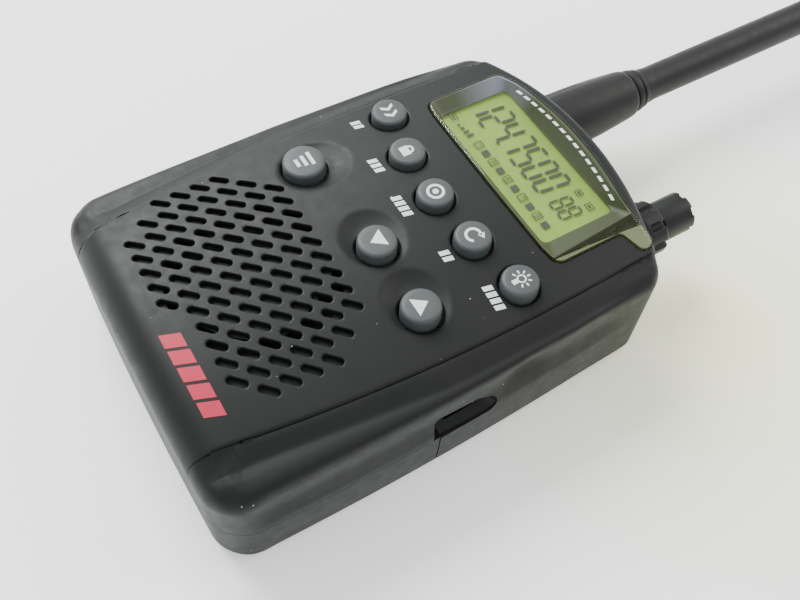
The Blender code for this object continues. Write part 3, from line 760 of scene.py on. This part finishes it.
def slot_plan(x, y):
    lie = math.atan2(SLOT_PITCH_Y, SLOT_PITCH_X)
    half = (SLOT_LENGTH - SLOT_WIDTH) / 2

    def outline(grow):
        radius = SLOT_WIDTH / 2 + grow
        spots = arc_points((half, 0), radius, -90, 90, 7) + arc_points((-half, 0), radius, 90, 270, 7)
        c, s = math.cos(lie), math.sin(lie)
        return [(x + u * c - v * s, y + u * s + v * c) for u, v in spots]

    return outline


def slots():
    bm = bmesh.new()
    for column, first, last in SLOT_ROWS:
        for row in range(first, last + 1):
            x = SLOT_A0[0] + SLOT_PITCH_X * column
            y = SLOT_A0[1] - SLOT_PITCH_Y * row
            add_flared(bm, slot_plan(x, y), SLOT_DEPTH)
    return bm


def speaker_opening():
    """Thins the shell from inside over the speaker, so that the slots there go through."""
    bm = bmesh.new()
    plan = arc_points(SPEAKER, SPEAKER_OPENING_R, 0, 352.5, 47)
    add_loops(bm, [[(x, y, 18.0) for x, y in plan], [(x, y, face_z(x) - SLOT_DEPTH + 0.15) for x, y in plan]])
    return bm


def window_outline(grow):
    """The window's plan with its tab on the right: bowed top and bottom, and rounded corners."""
    half = WINDOW_HALF + grow
    radius = WINDOW_CORNER + grow
    inner_x = half - radius
    low_y = WINDOW_BOTTOM_Y + WINDOW_BOTTOM_SAG
    high_y = WINDOW_TOP_Y - WINDOW_TOP_SAG - WINDOW_CORNER
    spots = arc_points((-inner_x, low_y + WINDOW_CORNER), radius, 180, 262, 8)
    for k in range(-14, 15):
        x = k * 1.1
        spots.append((x, WINDOW_BOTTOM_Y + WINDOW_BOTTOM_SAG * (x / WINDOW_HALF) ** 2 - grow))
    spots += arc_points((inner_x, low_y + WINDOW_CORNER), radius, 278, 360, 8)
    tab_r = (TAB_Y[1] - TAB_Y[0]) / 2 * 0.9
    tab = (TAB_END_X - tab_r, (TAB_Y[0] + TAB_Y[1]) / 2)
    spots.append((half, TAB_Y[0] - 1.3))
    spots.append((half + 0.12, TAB_Y[0] - 0.85))
    spots.append((half + 0.45, TAB_Y[0] - 0.45))
    spots += arc_points(tab, tab_r + grow, -80, 80, 12)
    for k in range(30):
        x = 19.0 - k * 1.17
        arch = WINDOW_TOP_Y - WINDOW_TOP_SAG * (x / WINDOW_HALF) ** 2
        spots.append((x, (max(arch, TAB_Y[1] - 0.2) if x > 0 else arch) + grow))
    spots += arc_points((-inner_x, high_y), radius, 110, 180, 8)
    return spots


def wells_and_window():
    bm = bmesh.new()
    for x, y, radius in KEYS.values():
        wide = radius + 0.3

        def outline(grow, x=x, y=y, wide=wide):
            return arc_points((x, y), wide + grow, 0, 352.5, 47)

        add_flared(bm, outline, 6.0, flare=0.3)
    add_loops(bm, [[(x, y, z) for x, y in window_outline(0.1)] for z in (15.0, 30.0)])
    return bm


def end_holes():
    bm = bmesh.new()
    for x, radius in ((ANTENNA_X, 3.4), (KNOB_X, 3.2), (EARPHONE_X, 3.0)):
        add_turned(bm, [(0, 0), (radius, 0), (radius, 9), (0, 9)], (x, 34.5, AXIS_Z), (0, 1, 0), 48)
    return bm


def pillars():
    bm = bmesh.new()
    for x, y in BOSSES:
        foot, top = 9.3, face_z(x) - FACE_WALL / 2
        profile = [(1.2, foot), (1.9, foot), (1.9, top), (1.2, top)]
        add_turned(bm, profile, (x, y, 0), (0, 0, 1), 24, ring=True)
    return bm


# ---------------------------------------------------------------- the rear case and the battery cover


def notch_mesh():
    """A finger notch in each side: square at one end, round at the other, with a floor that slants in."""
    bm = bmesh.new()
    low, high = NOTCH_Z
    for side in (-1, 1):
        plan = [(NOTCH_Y[0], low), (NOTCH_Y[1] - 2.0, low)]
        plan += arc_points((NOTCH_Y[1] - 2.0, low + 2.0), 2.0, -80, 60, 8)
        plan += [(2.0, high - 0.35), (NOTCH_Y[0] + 0.9, high + 0.25), (NOTCH_Y[0] + 0.2, high - 0.7)]
        loops = []
        for x, rise, shrink in ((33.0, 0.0, 1.0), (28.9, 0.0, 1.0), (26.2, 1.7, 0.86)):
            ring = []
            for y, z in plan:
                floor = rise * max(0.0, 1 - (z - low) / (high - low))
                ring.append((side * x, NOTCH_Y[0] + (y - NOTCH_Y[0]) * shrink, z + floor))
            loops.append(ring if side > 0 else ring[::-1])
        add_loops(bm, loops)
    return bm


def make_rear_case():
    bm = bmesh.new()
    add_fine_skin(bm)
    shell = new_piece("rear_shell", bm)
    upper = new_piece("upper_hollow", hollow_mesh())
    cut(upper, slab(y_high=BAY_WALL_Y, z_high=BAY_CEILING_TOP_Z))
    bay = new_piece("bay_hollow", hollow_mesh())
    cut(bay, slab(y_low=COVER_END_Y - 0.4))
    cut(bay, slab(z_low=BAY_CEILING_Z))
    cut(shell, panel_prism(HAIRLINE, SPLIT_Z - 0.12))
    for helper in (upper, bay):
        inside = bmesh.new()
        inside.from_mesh(helper.data)
        bmesh.ops.scale(inside, vec=(1 / MM,) * 3, verts=inside.verts)
        bpy.data.objects.remove(helper, do_unlink=True)
        cut(shell, inside)
    cut(shell, slab(y_high=COVER_END_Y + 0.1, z_high=COVER_TOP_Z + 0.1))
    cut(shell, notch_mesh())
    cut(shell, end_holes())
    jack = bmesh.new()
    add_turned(jack, [(0, -4), (3.1, -4), (3.1, 8), (0, 8)], DC_JACK, (1, 0, 0), 40)
    cut(shell, jack)
    holes = bmesh.new()
    bosses = bmesh.new()
    for x, y in BOSSES:
        add_turned(holes, [(0, -2), (2.6, -2), (2.6, 4), (0, 4)], (x, y, 0), (0, 0, 1), 32)
        profile = [(2.2, 0.15), (2.35, 0.02), (3.0, 0.02), (3.0, 9.0), (1.25, 9.0), (1.25, 4.9), (2.2, 4.9)]
        add_turned(bosses, profile, (x, y, 0), (0, 0, 1), 32, ring=True)
    cut(shell, holes)
    cut(shell, bosses, "UNION")
    coat(shell, "case")
    return show(shell, "case", "case", "rear_case")


def make_battery_cover():
    bm = bmesh.new()
    add_fine_skin(bm)
    cover = new_piece("battery_lid", bm)
    cut(cover, slab(y_high=COVER_END_Y - 0.1, z_high=COVER_TOP_Z), "INTERSECT")
    cut(cover, hollow_mesh())
    ribs = bmesh.new()
    for k in range(7):
        add_box(ribs, (-9.0, -12.0 - 1.6 * k, -1.0), (9.0, -11.2 - 1.6 * k, 0.35))
    cut(cover, ribs)
    coat(cover, "case")
    return show(cover, "battery_door", "case", "battery_cover")


# ---------------------------------------------------------------- window and display


def make_window():
    bm = bmesh.new()
    under = corner("display_window", False).z
    levels = [(0.0, None), (0.0, 0.25), (-0.08, 0.5), (-0.28, 0.64)]
    levels += [(-0.55, WINDOW_RAISE), (-1.2, WINDOW_RAISE)]
    loops = []
    for grow, lift in levels:
        loops.append([(x, y, under if lift is None else face_z(x) + lift) for x, y in window_outline(grow)])
    add_loops(bm, loops)
    for k in range(-24, 30):
        spot = (k * 0.77 + 0.013, 0, 0)
        geometry = bm.verts[:] + bm.edges[:] + bm.faces[:]
        bmesh.ops.bisect_plane(bm, geom=geometry, plane_co=spot, plane_no=(1, 0, 0))
    lens = new_piece("window_lens", bm, "lens")
    return show(lens, "case", "lens", "display_window")


def rounded_plan(half_x, half_y, radius, centre):
    spots = []
    for sx, sy, start in ((1, 1, 0), (-1, 1, 90), (-1, -1, 180), (1, -1, 270)):
        place = (centre[0] + sx * (half_x - radius), centre[1] + sy * (half_y - radius))
        spots += arc_points(place, radius, start, start + 90, 6)
    return spots


MASK_RISE = 0.25
DISPLAY_OPENING = (15.1, 6.75, 1.0, (-1.1, 29.4))  # half lengths, corner radius and centre


def make_mask():
    """The printed border under the window, which slopes from its rim to the display's opening."""
    bm = bmesh.new()
    low, high = corner("window_mask", False).z, corner("window_mask", True).z
    plan = [(x, y) for x, y in window_outline(-0.3) if x < MASK_END_X]
    add_loops(bm, [[(x, y, low) for x, y in plan], [(x, y, face_z(x) + MASK_RISE) for x, y in plan]])
    mask = new_piece("mask_border", bm)
    hole = bmesh.new()
    opening = rounded_plan(*DISPLAY_OPENING)
    opening = opening[14:] + opening[:14]  # from the lower left corner, as the window's outline runs
    rim = [(x, y) for x, y in window_outline(-0.55) if x < MASK_END_X - 0.25]
    small, large = (spread([*loop, loop[0]], 161)[:-1] for loop in (opening, rim))
    loops = [[(x, y, low - 1) for x, y in small], [(x, y, high) for x, y in small]]
    loops += [[(x, y, face_z(x) + MASK_RISE + lift) for x, y in large] for lift in (-0.05, 3.0)]
    add_loops(hole, loops)
    cut(mask, hole)
    coat(mask, "mask", 25)
    show(mask, "case", "mask", "window_mask")
    tab = bmesh.new()
    plan = [(x, y) for x, y in window_outline(-0.25) if x > MASK_END_X + 0.1]
    add_loops(tab, [[(x, y, low) for x, y in plan], [(x, y, face_z(x) + MASK_RISE) for x, y in plan]])
    show(new_piece("tab_backing", tab, "tab"), "case", "mask")


SEGMENTS = {"0": "abcdef", "1": "bc", "2": "abged", "3": "abgcd", "4": "fgbc", "5": "afgcd"}
SEGMENTS.update({"6": "afgedc", "7": "abc", "8": "abcdefg", "9": "abcdfg"})


def add_segment(bm, start, end, width, z, thick):
    """A bar with pointed ends from start to end."""
    along = Vector(end) - Vector(start)
    unit = along.normalized()
    side = Vector((-unit.y, unit.x)) * width / 2
    a, b = Vector(start), Vector(end)
    tip = unit * width / 2
    plan = [a, a + tip - side, b - tip - side, b, b - tip + side, a + tip + side]
    add_loops(bm, [[(p.x, p.y, level) for p in plan] for level in (z, z + thick)])


def add_digit(bm, figure, left, low, wide, high, width, z, slant=0.1):
    gap = width * 0.35

    def place(u, v):
        return (left + wide * u + slant * high * v, low + high * v)

    runs = {"a": ((0, 1), (1, 1)), "b": ((1, 0.5), (1, 1)), "c": ((1, 0), (1, 0.5)), "d": ((0, 0), (1, 0))}
    runs.update({"e": ((0, 0), (0, 0.5)), "f": ((0, 0.5), (0, 1)), "g": ((0, 0.5), (1, 0.5))})
    for letter in SEGMENTS[figure]:
        one, two = (Vector(place(*spot)) for spot in runs[letter])
        unit = (two - one).normalized() * gap
        add_segment(bm, one + unit, two - unit, width, z, SEGMENT_THICK)


def add_bar(bm, low, high, z):
    add_box(bm, (low[0], low[1], z), (high[0], high[1], z + SEGMENT_THICK))


def add_outline(bm, x, y, ends, sides, z):
    """A box's outline: ends is (half length, inner y, outer y), sides is (half height, inner x, outer x)."""
    for turn in (-1, 1):
        low_y, high_y = sorted((y + turn * ends[1], y + turn * ends[2]))
        add_bar(bm, (x - ends[0], low_y), (x + ends[0], high_y), z)
        low_x, high_x = sorted((x + turn * sides[1], x + turn * sides[2]))
        add_bar(bm, (low_x, y - sides[0]), (high_x, y + sides[0]), z)


SEGMENT_THICK = 0.06
SEGMENT_RISE = 0.22
FIGURE_X0 = -15.9
FIGURE_PITCH = 3.15
CHANNEL_X0 = 7.6
CHANNEL_PITCH = 2.25
METER_X0 = -8.0
METER_PITCH = 4.2
METER_Y = 25.2


def make_display():
    """The liquid crystal plate and what it shows: a frequency, a channel and a bar meter."""
    bm = bmesh.new()
    low, high = corner("lcd_glass", False), corner("lcd_glass", True)
    middle = (low + high) / 2
    plan = rounded_plan((high.x - low.x) / 2, (high.y - low.y) / 2, 0.5, (middle.x, middle.y))
    levels = ((-0.1, low.z), (0.0, low.z + 0.1), (0.0, high.z - 0.1), (-0.1, high.z))
    loops = []
    for grow, z in levels:
        shrink = 1 + grow / 16
        loops.append([(middle.x + (x - middle.x) * shrink, y, z) for x, y in plan])
    add_loops(bm, loops)
    show(new_piece("lcd_plate", bm, "lcd"), "case", "lcd", "lcd_glass")

    bm = bmesh.new()
    z = LCD_Z + SEGMENT_RISE
    left = FIGURE_X0
    for figure in "124.7500":
        if figure == ".":
            add_bar(bm, (left - 0.75, 28.0), (left - 0.2, 28.55), z)
            continue
        add_digit(bm, figure, left, 28.1, 2.05, 6.0, 0.52, z)
        left += FIGURE_PITCH
    for k, figure in enumerate("88"):
        add_digit(bm, figure, CHANNEL_X0 + CHANNEL_PITCH * k, 28.2, 1.45, 3.8, 0.34, z)
    for k in range(5):
        x = METER_X0 + METER_PITCH * k
        add_bar(bm, (x + 1.45, METER_Y - 0.6), (x + 2.75, METER_Y + 0.6), z)
        add_outline(bm, x, METER_Y, (0.7, 0.62, 0.75), (0.6, 0.6, 0.73), z)
        add_digit(bm, str(2 * k + 1), x - 0.27, METER_Y - 0.42, 0.48, 0.84, 0.14, z, 0.05)
    for x, y, wide in ((-15.5, 24.9, 1.7), (11.3, 33.6, 1.5), (8.2, 33.8, 1.3)):
        add_outline(bm, x, y, (wide / 2, 0.48, 0.6), (0.46, wide / 2 - 0.12, wide / 2), z)
        add_bar(bm, (x - 0.35, y - 0.15), (x + 0.35, y + 0.15), z)
    for k in range(4):
        x = -13.6 + 0.95 * k
        add_bar(bm, (x, METER_Y - 0.75), (x + 0.42, METER_Y - 0.35 + 0.3 * k), z)
    show(new_piece("lcd_segments", bm, "segment"), "case", "lcd")


# ---------------------------------------------------------------- keys, marks and legends


def add_plate(bm, plan, z, thick=0.035):
    """A thin plate; z is a height, or a function of x and y that it lies on."""
    heights = z if callable(z) else (lambda x, y: z)
    add_loops(bm, [[(x, y, heights(x, y) + lift) for x, y in plan] for lift in (0.0, thick)])


def add_ink_bar(bm, centre, wide, high, slant, heights, thick=0.03, parts=6):
    """A slanted bar of ink, closed, whose top follows the surface below it."""
    layers = []
    for lift in (-0.08, thick):
        layer = []
        for k in range(parts + 1):
            v = (k / parts - 0.5) * high
            row = []
            for m in range(parts + 1):
                x, y = centre[0] + (m / parts - 0.5) * wide + slant * v, centre[1] + v
                row.append(bm.verts.new((x, y, heights(x, y) + lift)))
            layer.append(row)
        for low, top in zip(layer, layer[1:]):
            for m in range(parts):
                bm.faces.new((low[m], low[m + 1], top[m + 1], top[m]))
        layers.append(layer)
    rims = []
    for layer in layers:
        right = [row[-1] for row in layer[1:-1]]
        left = [row[0] for row in layer[1:-1]]
        rims.append(layer[0] + right + layer[-1][::-1] + left[::-1])
    for i in range(len(rims[0])):
        j = (i + 1) % len(rims[0])
        bm.faces.new((rims[0][i], rims[0][j], rims[1][j], rims[1][i]))


def bar_plan(x, y, wide, high, turn=0.0, slant=0.0):
    c, s = math.cos(turn), math.sin(turn)
    corners = [(-wide / 2, -high / 2), (wide / 2, -high / 2), (wide / 2, high / 2), (-wide / 2, high / 2)]
    corners = [(u + slant * v, v) for u, v in corners]
    return [(x + u * c - v * s, y + u * s + v * c) for u, v in corners]


def add_ring(bm, x, y, outer, inner, z, start=0, end=360, thick=0.035):
    """A flat ring or an open arc of one, as a closed solid."""
    whole = end - start >= 360
    steps = 32
    out = arc_points((x, y), outer, start, end, steps)
    back = arc_points((x, y), inner, start, end, steps)
    if whole:
        out, back = out[:-1], back[:-1]
    levels = [(side, z + lift) for side in (out, back) for lift in (0, thick)]
    rings = [[bm.verts.new((*spot, level)) for spot in side] for side, level in levels]
    out_low, out_high, in_low, in_high = rings
    count = len(out)
    for i in range(count if whole else count - 1):
        j = (i + 1) % count
        bm.faces.new((out_low[i], out_low[j], out_high[j], out_high[i]))
        bm.faces.new((in_low[j], in_low[i], in_high[i], in_high[j]))
        bm.faces.new((out_high[i], out_high[j], in_high[j], in_high[i]))
        bm.faces.new((out_low[j], out_low[i], in_low[i], in_low[j]))
    if not whole:
        bm.faces.new((out_low[0], out_high[0], in_high[0], in_low[0]))
        bm.faces.new((out_high[-1], out_low[-1], in_low[-1], in_high[-1]))


def legend(bm, name, x, y, z):
    """A generic white sign on a key's top."""
    if name == "scan":
        for side in (-1, 1):
            cx = x + side * 0.75
            plan = [(cx - 0.65, y - 1.1), (cx - 0.05, y - 1.1), (cx + 0.65, y)]
            plan += [(cx - 0.05, y + 1.1), (cx - 0.65, y + 1.1), (cx + 0.05, y)]
            add_plate(bm, plan, z)
    elif name == "lock":
        add_plate(bm, bar_plan(x, y - 0.5, 1.9, 1.45), z)
        add_ring(bm, x, y + 0.25, 0.78, 0.42, z, 0, 180)
    elif name == "monitor":
        add_ring(bm, x, y, 1.45, 1.0, z)
        add_plate(bm, arc_points((x, y), 0.5, 0, 345, 23), z)
    elif name == "recall":
        add_ring(bm, x, y, 1.35, 0.9, z, 60, 330)
        add_plate(bm, [(x + 0.35, y + 1.75), (x + 0.35, y + 0.55), (x + 1.35, y + 1.15)], z)
    elif name == "lamp":
        add_ring(bm, x, y + 0.15, 0.75, 0.5, z)
        add_plate(bm, bar_plan(x, y - 1.05, 0.8, 0.85), z)
        for k in range(7):
            a = math.radians(-30 + 40 * k)
            place = (x + 1.25 * math.cos(a), y + 0.15 + 1.25 * math.sin(a))
            add_plate(bm, bar_plan(*place, 0.55, 0.26, a), z)
    elif name == "function":
        for k in range(3):
            add_plate(bm, bar_plan(x, y - 1.15 + 1.15 * k, 2.7 - 0.55 * (2 - k), 0.6), z)
    else:
        turn = 1 if name == "up" else -1
        add_plate(bm, [(x - 1.6, y - 1.1 * turn), (x + 1.6, y - 1.1 * turn), (x, y + 1.15 * turn)][::turn], z)


def make_keys():
    for name, (x, y, radius) in KEYS.items():
        node = "key_" + name
        foot, top = corner(node, False).z, corner(node, True).z
        edge = 0.62
        profile = [(0, foot), (radius + 0.6, foot), (radius + 0.6, foot + 0.6), (radius, foot + 0.6)]
        profile += [(radius, foot + 1.6), (radius - 0.02, top - edge - 0.1)]
        for r, along in arc_points((radius - 0.04 - edge, top - edge), edge, 0, 84, 9):
            profile.append((r, along))
        profile += [(radius * 0.6, top + 0.02), (radius * 0.3, top + 0.015), (0, top + 0.015)]
        bm = bmesh.new()
        add_turned(bm, profile, (x, y, 0), (0, 0, 1), 72)
        cap = new_piece("cap_" + name, bm, "key")
        show(cap, name + "_key", "key", node)
        marks = bmesh.new()
        legend(marks, name, x, y, top + 0.018)
        show(new_piece("sign_" + name, marks, "white"), name + "_key", "key")


RED_MARK = (9.8, -33.6)
RED_PITCH = 2.9
RED_SLOPE = 0.03
INK_LIFT = 0.004


def make_marks():
    """Plain ink marks: bars beside the keys of the row, dashes over the display and a broken red stripe."""
    bm = bmesh.new()
    labels = ((-20.3, 9.0, 2), (-10.3, 6.8, 3), (-1.1, 6.05, 4), (9.9, 7.2, 2), (19.0, 9.8, 4))
    for x, y, count in labels:
        for k in range(count):
            place = x + 1.12 * (k - (count - 1) / 2)
            add_ink_bar(bm, (place, y), 0.8, 1.6, 0.2, face_mark)
    show(new_piece("key_labels", bm, "white"), "case", "case")
    bm = bmesh.new()
    for k in range(15):
        x = -12.4 + 1.82 * k
        y = WINDOW_TOP_Y - WINDOW_TOP_SAG * (x / WINDOW_HALF) ** 2 - 2.0
        lean = -2 * WINDOW_TOP_SAG * x / WINDOW_HALF**2
        add_plate(bm, bar_plan(x, y, 1.15, 0.5, lean, 0.3), window_mark, 0.02)
    show(new_piece("window_dashes", bm, "white"), "case", "lens")
    bm = bmesh.new()
    for k in range(5):
        place = RED_MARK[0] + RED_PITCH * (k - 2)
        centre = (place, RED_MARK[1] + RED_SLOPE * (place - RED_MARK[0]))
        add_ink_bar(bm, centre, 2.35, 2.9, 0.35, face_mark, 0.04, 10)
    show(new_piece("red_stripe", bm, "red"), "case", "case")


def window_mark(x, y):
    return face_z(x) + WINDOW_RAISE + INK_LIFT


def face_mark(x, y):
    start = BOTTOM_Y + BOTTOM_EDGE
    drop = 0.0
    if y < start:
        away = min(start - y, BOTTOM_EDGE)
        drop = BOTTOM_EDGE - math.sqrt(BOTTOM_EDGE**2 - away**2)
    return front_z(x, y) - drop + INK_LIFT


# ---------------------------------------------------------------- knobs and antenna


FLUTE_TURN = 0.2  # how far the grooves are turned round the knob, in radians


def flutes(count, depth, start, end):
    """The change of radius that cuts broad flat-bottomed grooves round a knob, run out at their start."""

    def wave(along, angle):
        if not start <= along <= end:
            return 0.0
        return -depth * ease(math.cos(count * angle), 0.25, 0.75) * ease(along, start, start + 0.5)

    return wave


def make_knobs():
    spot, along = (KNOB_X, 0, AXIS_Z), (0, 1, 0)
    low, high = corner("squelch_knob", False), corner("squelch_knob", True)
    radius, y0, y1 = (high.x - low.x) / 2, low.y, high.y
    outer = [(4.1, y0), (radius - 0.25, y0), (radius - 0.05, y0 + 0.3), (radius, y0 + 0.9)]
    outer += [(radius, y0 + 0.9 + (y1 - 0.55 - y0 - 0.9) * k / 16) for k in range(1, 17)]
    outer += [(r, a) for r, a in arc_points((radius - 0.5, y1 - 0.5), 0.5, 10, 90, 5)]
    outer += [(3.8, y1), (2.4, y1 - 0.15), (2.4, y0 + 2.6), (4.1, y0 + 2.6)]
    bm = bmesh.new()
    wave = flutes(8, 0.6, y0 + 1.1, y1 + 0.1)
    add_turned(bm, outer, spot, along, 240, lambda a, t: wave(a, t + FLUTE_TURN), ring=True)
    ring = new_piece("squelch_ring", bm, "knob")
    show(ring, "squelch_control", "knob", "squelch_knob")

    low, high = corner("volume_knob", False), corner("volume_knob", True)
    radius, y0, y1 = (high.x - low.x) / 2, low.y, high.y
    inner = [(0, y1 - 1.0), (1.35, y1 - 1.0), (1.35, y0), (radius - 0.2, y0), (radius, y0 + 0.2)]
    inner += [(radius, y1 - 1.2), (radius, y1 - 0.9)]
    inner += arc_points((radius - 0.45, y1 - 0.45), 0.45, 0, 90, 6)
    inner += [(radius * 0.55, y1 - 0.02), (0, y1 - 0.02)]
    bm = bmesh.new()
    add_turned(bm, inner, spot, along, 144)
    knob = new_piece("volume_cap", bm)
    notches = bmesh.new()
    for k in range(6):
        turn = Matrix.Translation(spot) @ Matrix.Rotation(math.radians(60 * k + 12), 4, "Y")
        add_box(notches, (radius - 0.75, y1 - 1.15, -0.75), (radius + 1.0, y1 + 1.0, 0.75), turn)
    cut(knob, notches)
    bevel = knob.modifiers.new("soft_edges", "BEVEL")
    bevel.width = 0.12 * MM
    bevel.segments = 3
    bevel.limit_method = "ANGLE"
    settle(knob)
    coat(knob, "knob", 40)
    show(knob, "volume_control", "knob", "volume_knob")


def make_antenna():
    spot, along = (ANTENNA_X, 0, AXIS_Z), (0, 1, 0)
    low, high = corner("antenna_sleeve", False), corner("antenna_sleeve", True)
    base, y0, y1 = (high.x - low.x) / 2, low.y, high.y
    end = 4.5
    steps = 130
    body = [(base * (1 - k / steps) + end * k / steps + 0.28 * math.sin(math.pi * k / steps),
             y0 + 0.5 + (y1 - y0 - 1.6) * k / steps) for k in range(steps + 1)]
    sleeve = [(4.3, y0), (base - 0.35, y0), (base - 0.08, y0 + 0.2), *body]
    sleeve += [(end - 0.12, y1 - 0.55), (end - 0.4, y1 - 0.15), (end - 0.75, y1)]
    sleeve += [(1.0, y1), (1.0, y0 + 7), (4.3, y0 + 7)]

    def grip(a, t):
        reach = ease(a, y0 + 1.0, y0 + 1.8) * (1 - ease(a, y0 + 9.5, y0 + 10.5))
        if reach == 0 or a > y0 + 12:
            return 0.0
        sector = ease(math.cos(t - math.pi), 0.42, 0.54)
        return -0.24 * reach * sector * (0.5 + 0.5 * math.cos(2 * math.pi * a / 0.8)) ** 1.5

    bm = bmesh.new()
    add_turned(bm, sleeve, spot, along, 120, grip, ring=True)
    show(new_piece("antenna_boot", bm, "antenna_rubber"), "antenna", "antenna_rubber", "antenna_sleeve")

    y0, y1 = corner("antenna_ring", False).y, corner("antenna_ring", True).y
    y0 -= 0.25
    collar = [(0, y0), (3.55, y0), (3.95, y0 + 0.25), (4.05, y0 + 0.8), (3.95, y0 + 1.35), (3.55, y0 + 1.6)]
    collar += [(3.5, y0 + 1.75), (3.72, y0 + 1.95), (3.7, y0 + 2.4), (3.45, y1), (0, y1)]
    bm = bmesh.new()
    add_turned(bm, collar, spot, along, 96)
    show(new_piece("antenna_collar", bm, "antenna_rubber"), "antenna", "antenna_rubber", "antenna_ring")

    low, high = corner("antenna_whip", False), corner("antenna_whip", True)
    radius, y0, y1 = (high.x - low.x) / 2, low.y, high.y
    whip = [(0, y0 - 0.2), (radius + 0.22, y0 - 0.2), (radius + 0.15, y0 + 0.6), (radius, y0 + 2.2)]
    whip += [(radius, y0 + (y1 - 3 - y0) * k / 24) for k in range(1, 25)]
    for a in [math.radians(9 * k) for k in range(1, 10)]:
        whip.append((radius * math.cos(a), y1 - 3 + 3 * math.sin(a)))
    whip += [(0, y1)]
    bm = bmesh.new()
    add_turned(bm, whip, spot, along, 72)
    show(new_piece("antenna_rod", bm, "antenna_rubber"), "antenna", "antenna_rubber", "antenna_whip")


# ---------------------------------------------------------------- carried-over nodes, floor, light, camera


def dress_frame():
    """Every CAD node that stays gets its slot's material."""
    for entry in frame["record"]["subparts"]:
        mesh = frame["nodes"][entry["node"]].data
        mesh.materials.clear()
        mesh.materials.append(MATERIALS[entry["material_slot"]])
        mesh.shade_smooth()
        mesh.set_sharp_from_angle(angle=math.radians(35))


# Painted shade: the floor darkens to yellow-green round this point beside the radio's top right corner,
# within this reach, in metres.
PAINTED_SHADE_CENTRE = (0.033, 0.052, 0.0)
PAINTED_SHADE_REACH = 0.05


def make_floor():
    bm = bmesh.new()
    bmesh.ops.create_grid(bm, x_segments=2, y_segments=2, size=1500.0)
    floor = new_piece("table_top", bm)
    made, tree, shader = nodes_of("pale_table")
    patches = ranged(tree, noise(tree, 6.0, 2.0), 0.0, 1.0)
    tone = mixed(tree, patches, (0.86, 0.865, 0.84), (0.90, 0.905, 0.88))
    shift = {"Vector": own_place(tree), "Location": [-c for c in PAINTED_SHADE_CENTRE]}
    from_centre = add_node(tree, "Mapping", shift).outputs["Vector"]
    away = add_node(tree, "VectorMath", {0: from_centre}, operation="LENGTH").outputs["Value"]
    # Painted shade: a yellow-green darkening of the floor near the radio, in place of its shadow.
    tone = mixed(tree, ranged(tree, away, 1.0, 0.0, 0.0, PAINTED_SHADE_REACH), tone, (0.78, 0.80, 0.50))
    set_inputs(tree, shader, {"Base Color": tone, "Emission Color": tone})
    set_inputs(tree, shader, {"Emission Strength": 0.5, "Roughness": 0.6})
    floor.data.materials.append(made)
    floor.location.z = -0.05 * MM


def area_light(name, place, target, size, power, colour=(1.0, 1.0, 1.0)):
    data = bpy.data.lights.new(name, "AREA")
    data.shape = "SQUARE"
    data.size = size
    data.energy = power
    data.color = colour
    obj = bpy.data.objects.new(name, data)
    bpy.context.scene.collection.objects.link(obj)
    obj.location = place
    obj.rotation_euler = (Vector(target) - Vector(place)).to_track_quat("-Z", "Y").to_euler()


def make_light():
    world = bpy.data.worlds.new("soft_room")
    bpy.context.scene.world = world
    world.use_nodes = True
    background = world.node_tree.nodes["Background"]
    background.inputs["Color"].default_value = (0.93, 0.96, 1.0, 1.0)
    background.inputs["Strength"].default_value = 1.05
    area_light("window_light", (-0.55, -0.05, 0.55), (0, 0, 0.01), 0.45, 12.5, (0.97, 0.98, 1.0))
    area_light("far_fill", (0.1, 0.75, 0.6), (0, 0, 0.01), 0.5, 3.5, (1.0, 1.0, 0.93))


CAMERA_PLACE = (73.85, -45.29, 138.15)
CAMERA_TURN = (32.758, -2.749, 59.235)
CAMERA_LENS = 42.68


def make_camera():
    data = bpy.data.cameras.new("camera")
    data.lens = CAMERA_LENS
    data.sensor_width = 36.0
    data.clip_start = 0.005
    camera = bpy.data.objects.new("camera", data)
    bpy.context.scene.collection.objects.link(camera)
    camera.location = Vector(CAMERA_PLACE) * MM
    camera.rotation_euler = [math.radians(a) for a in CAMERA_TURN]
    bpy.context.scene.camera = camera


MATERIALS = make_materials()
dress_frame()
make_front_case()
make_rear_case()
make_battery_cover()
make_window()
make_mask()
make_display()
make_keys()
make_marks()
make_knobs()
make_antenna()
make_floor()
make_light()
make_camera()
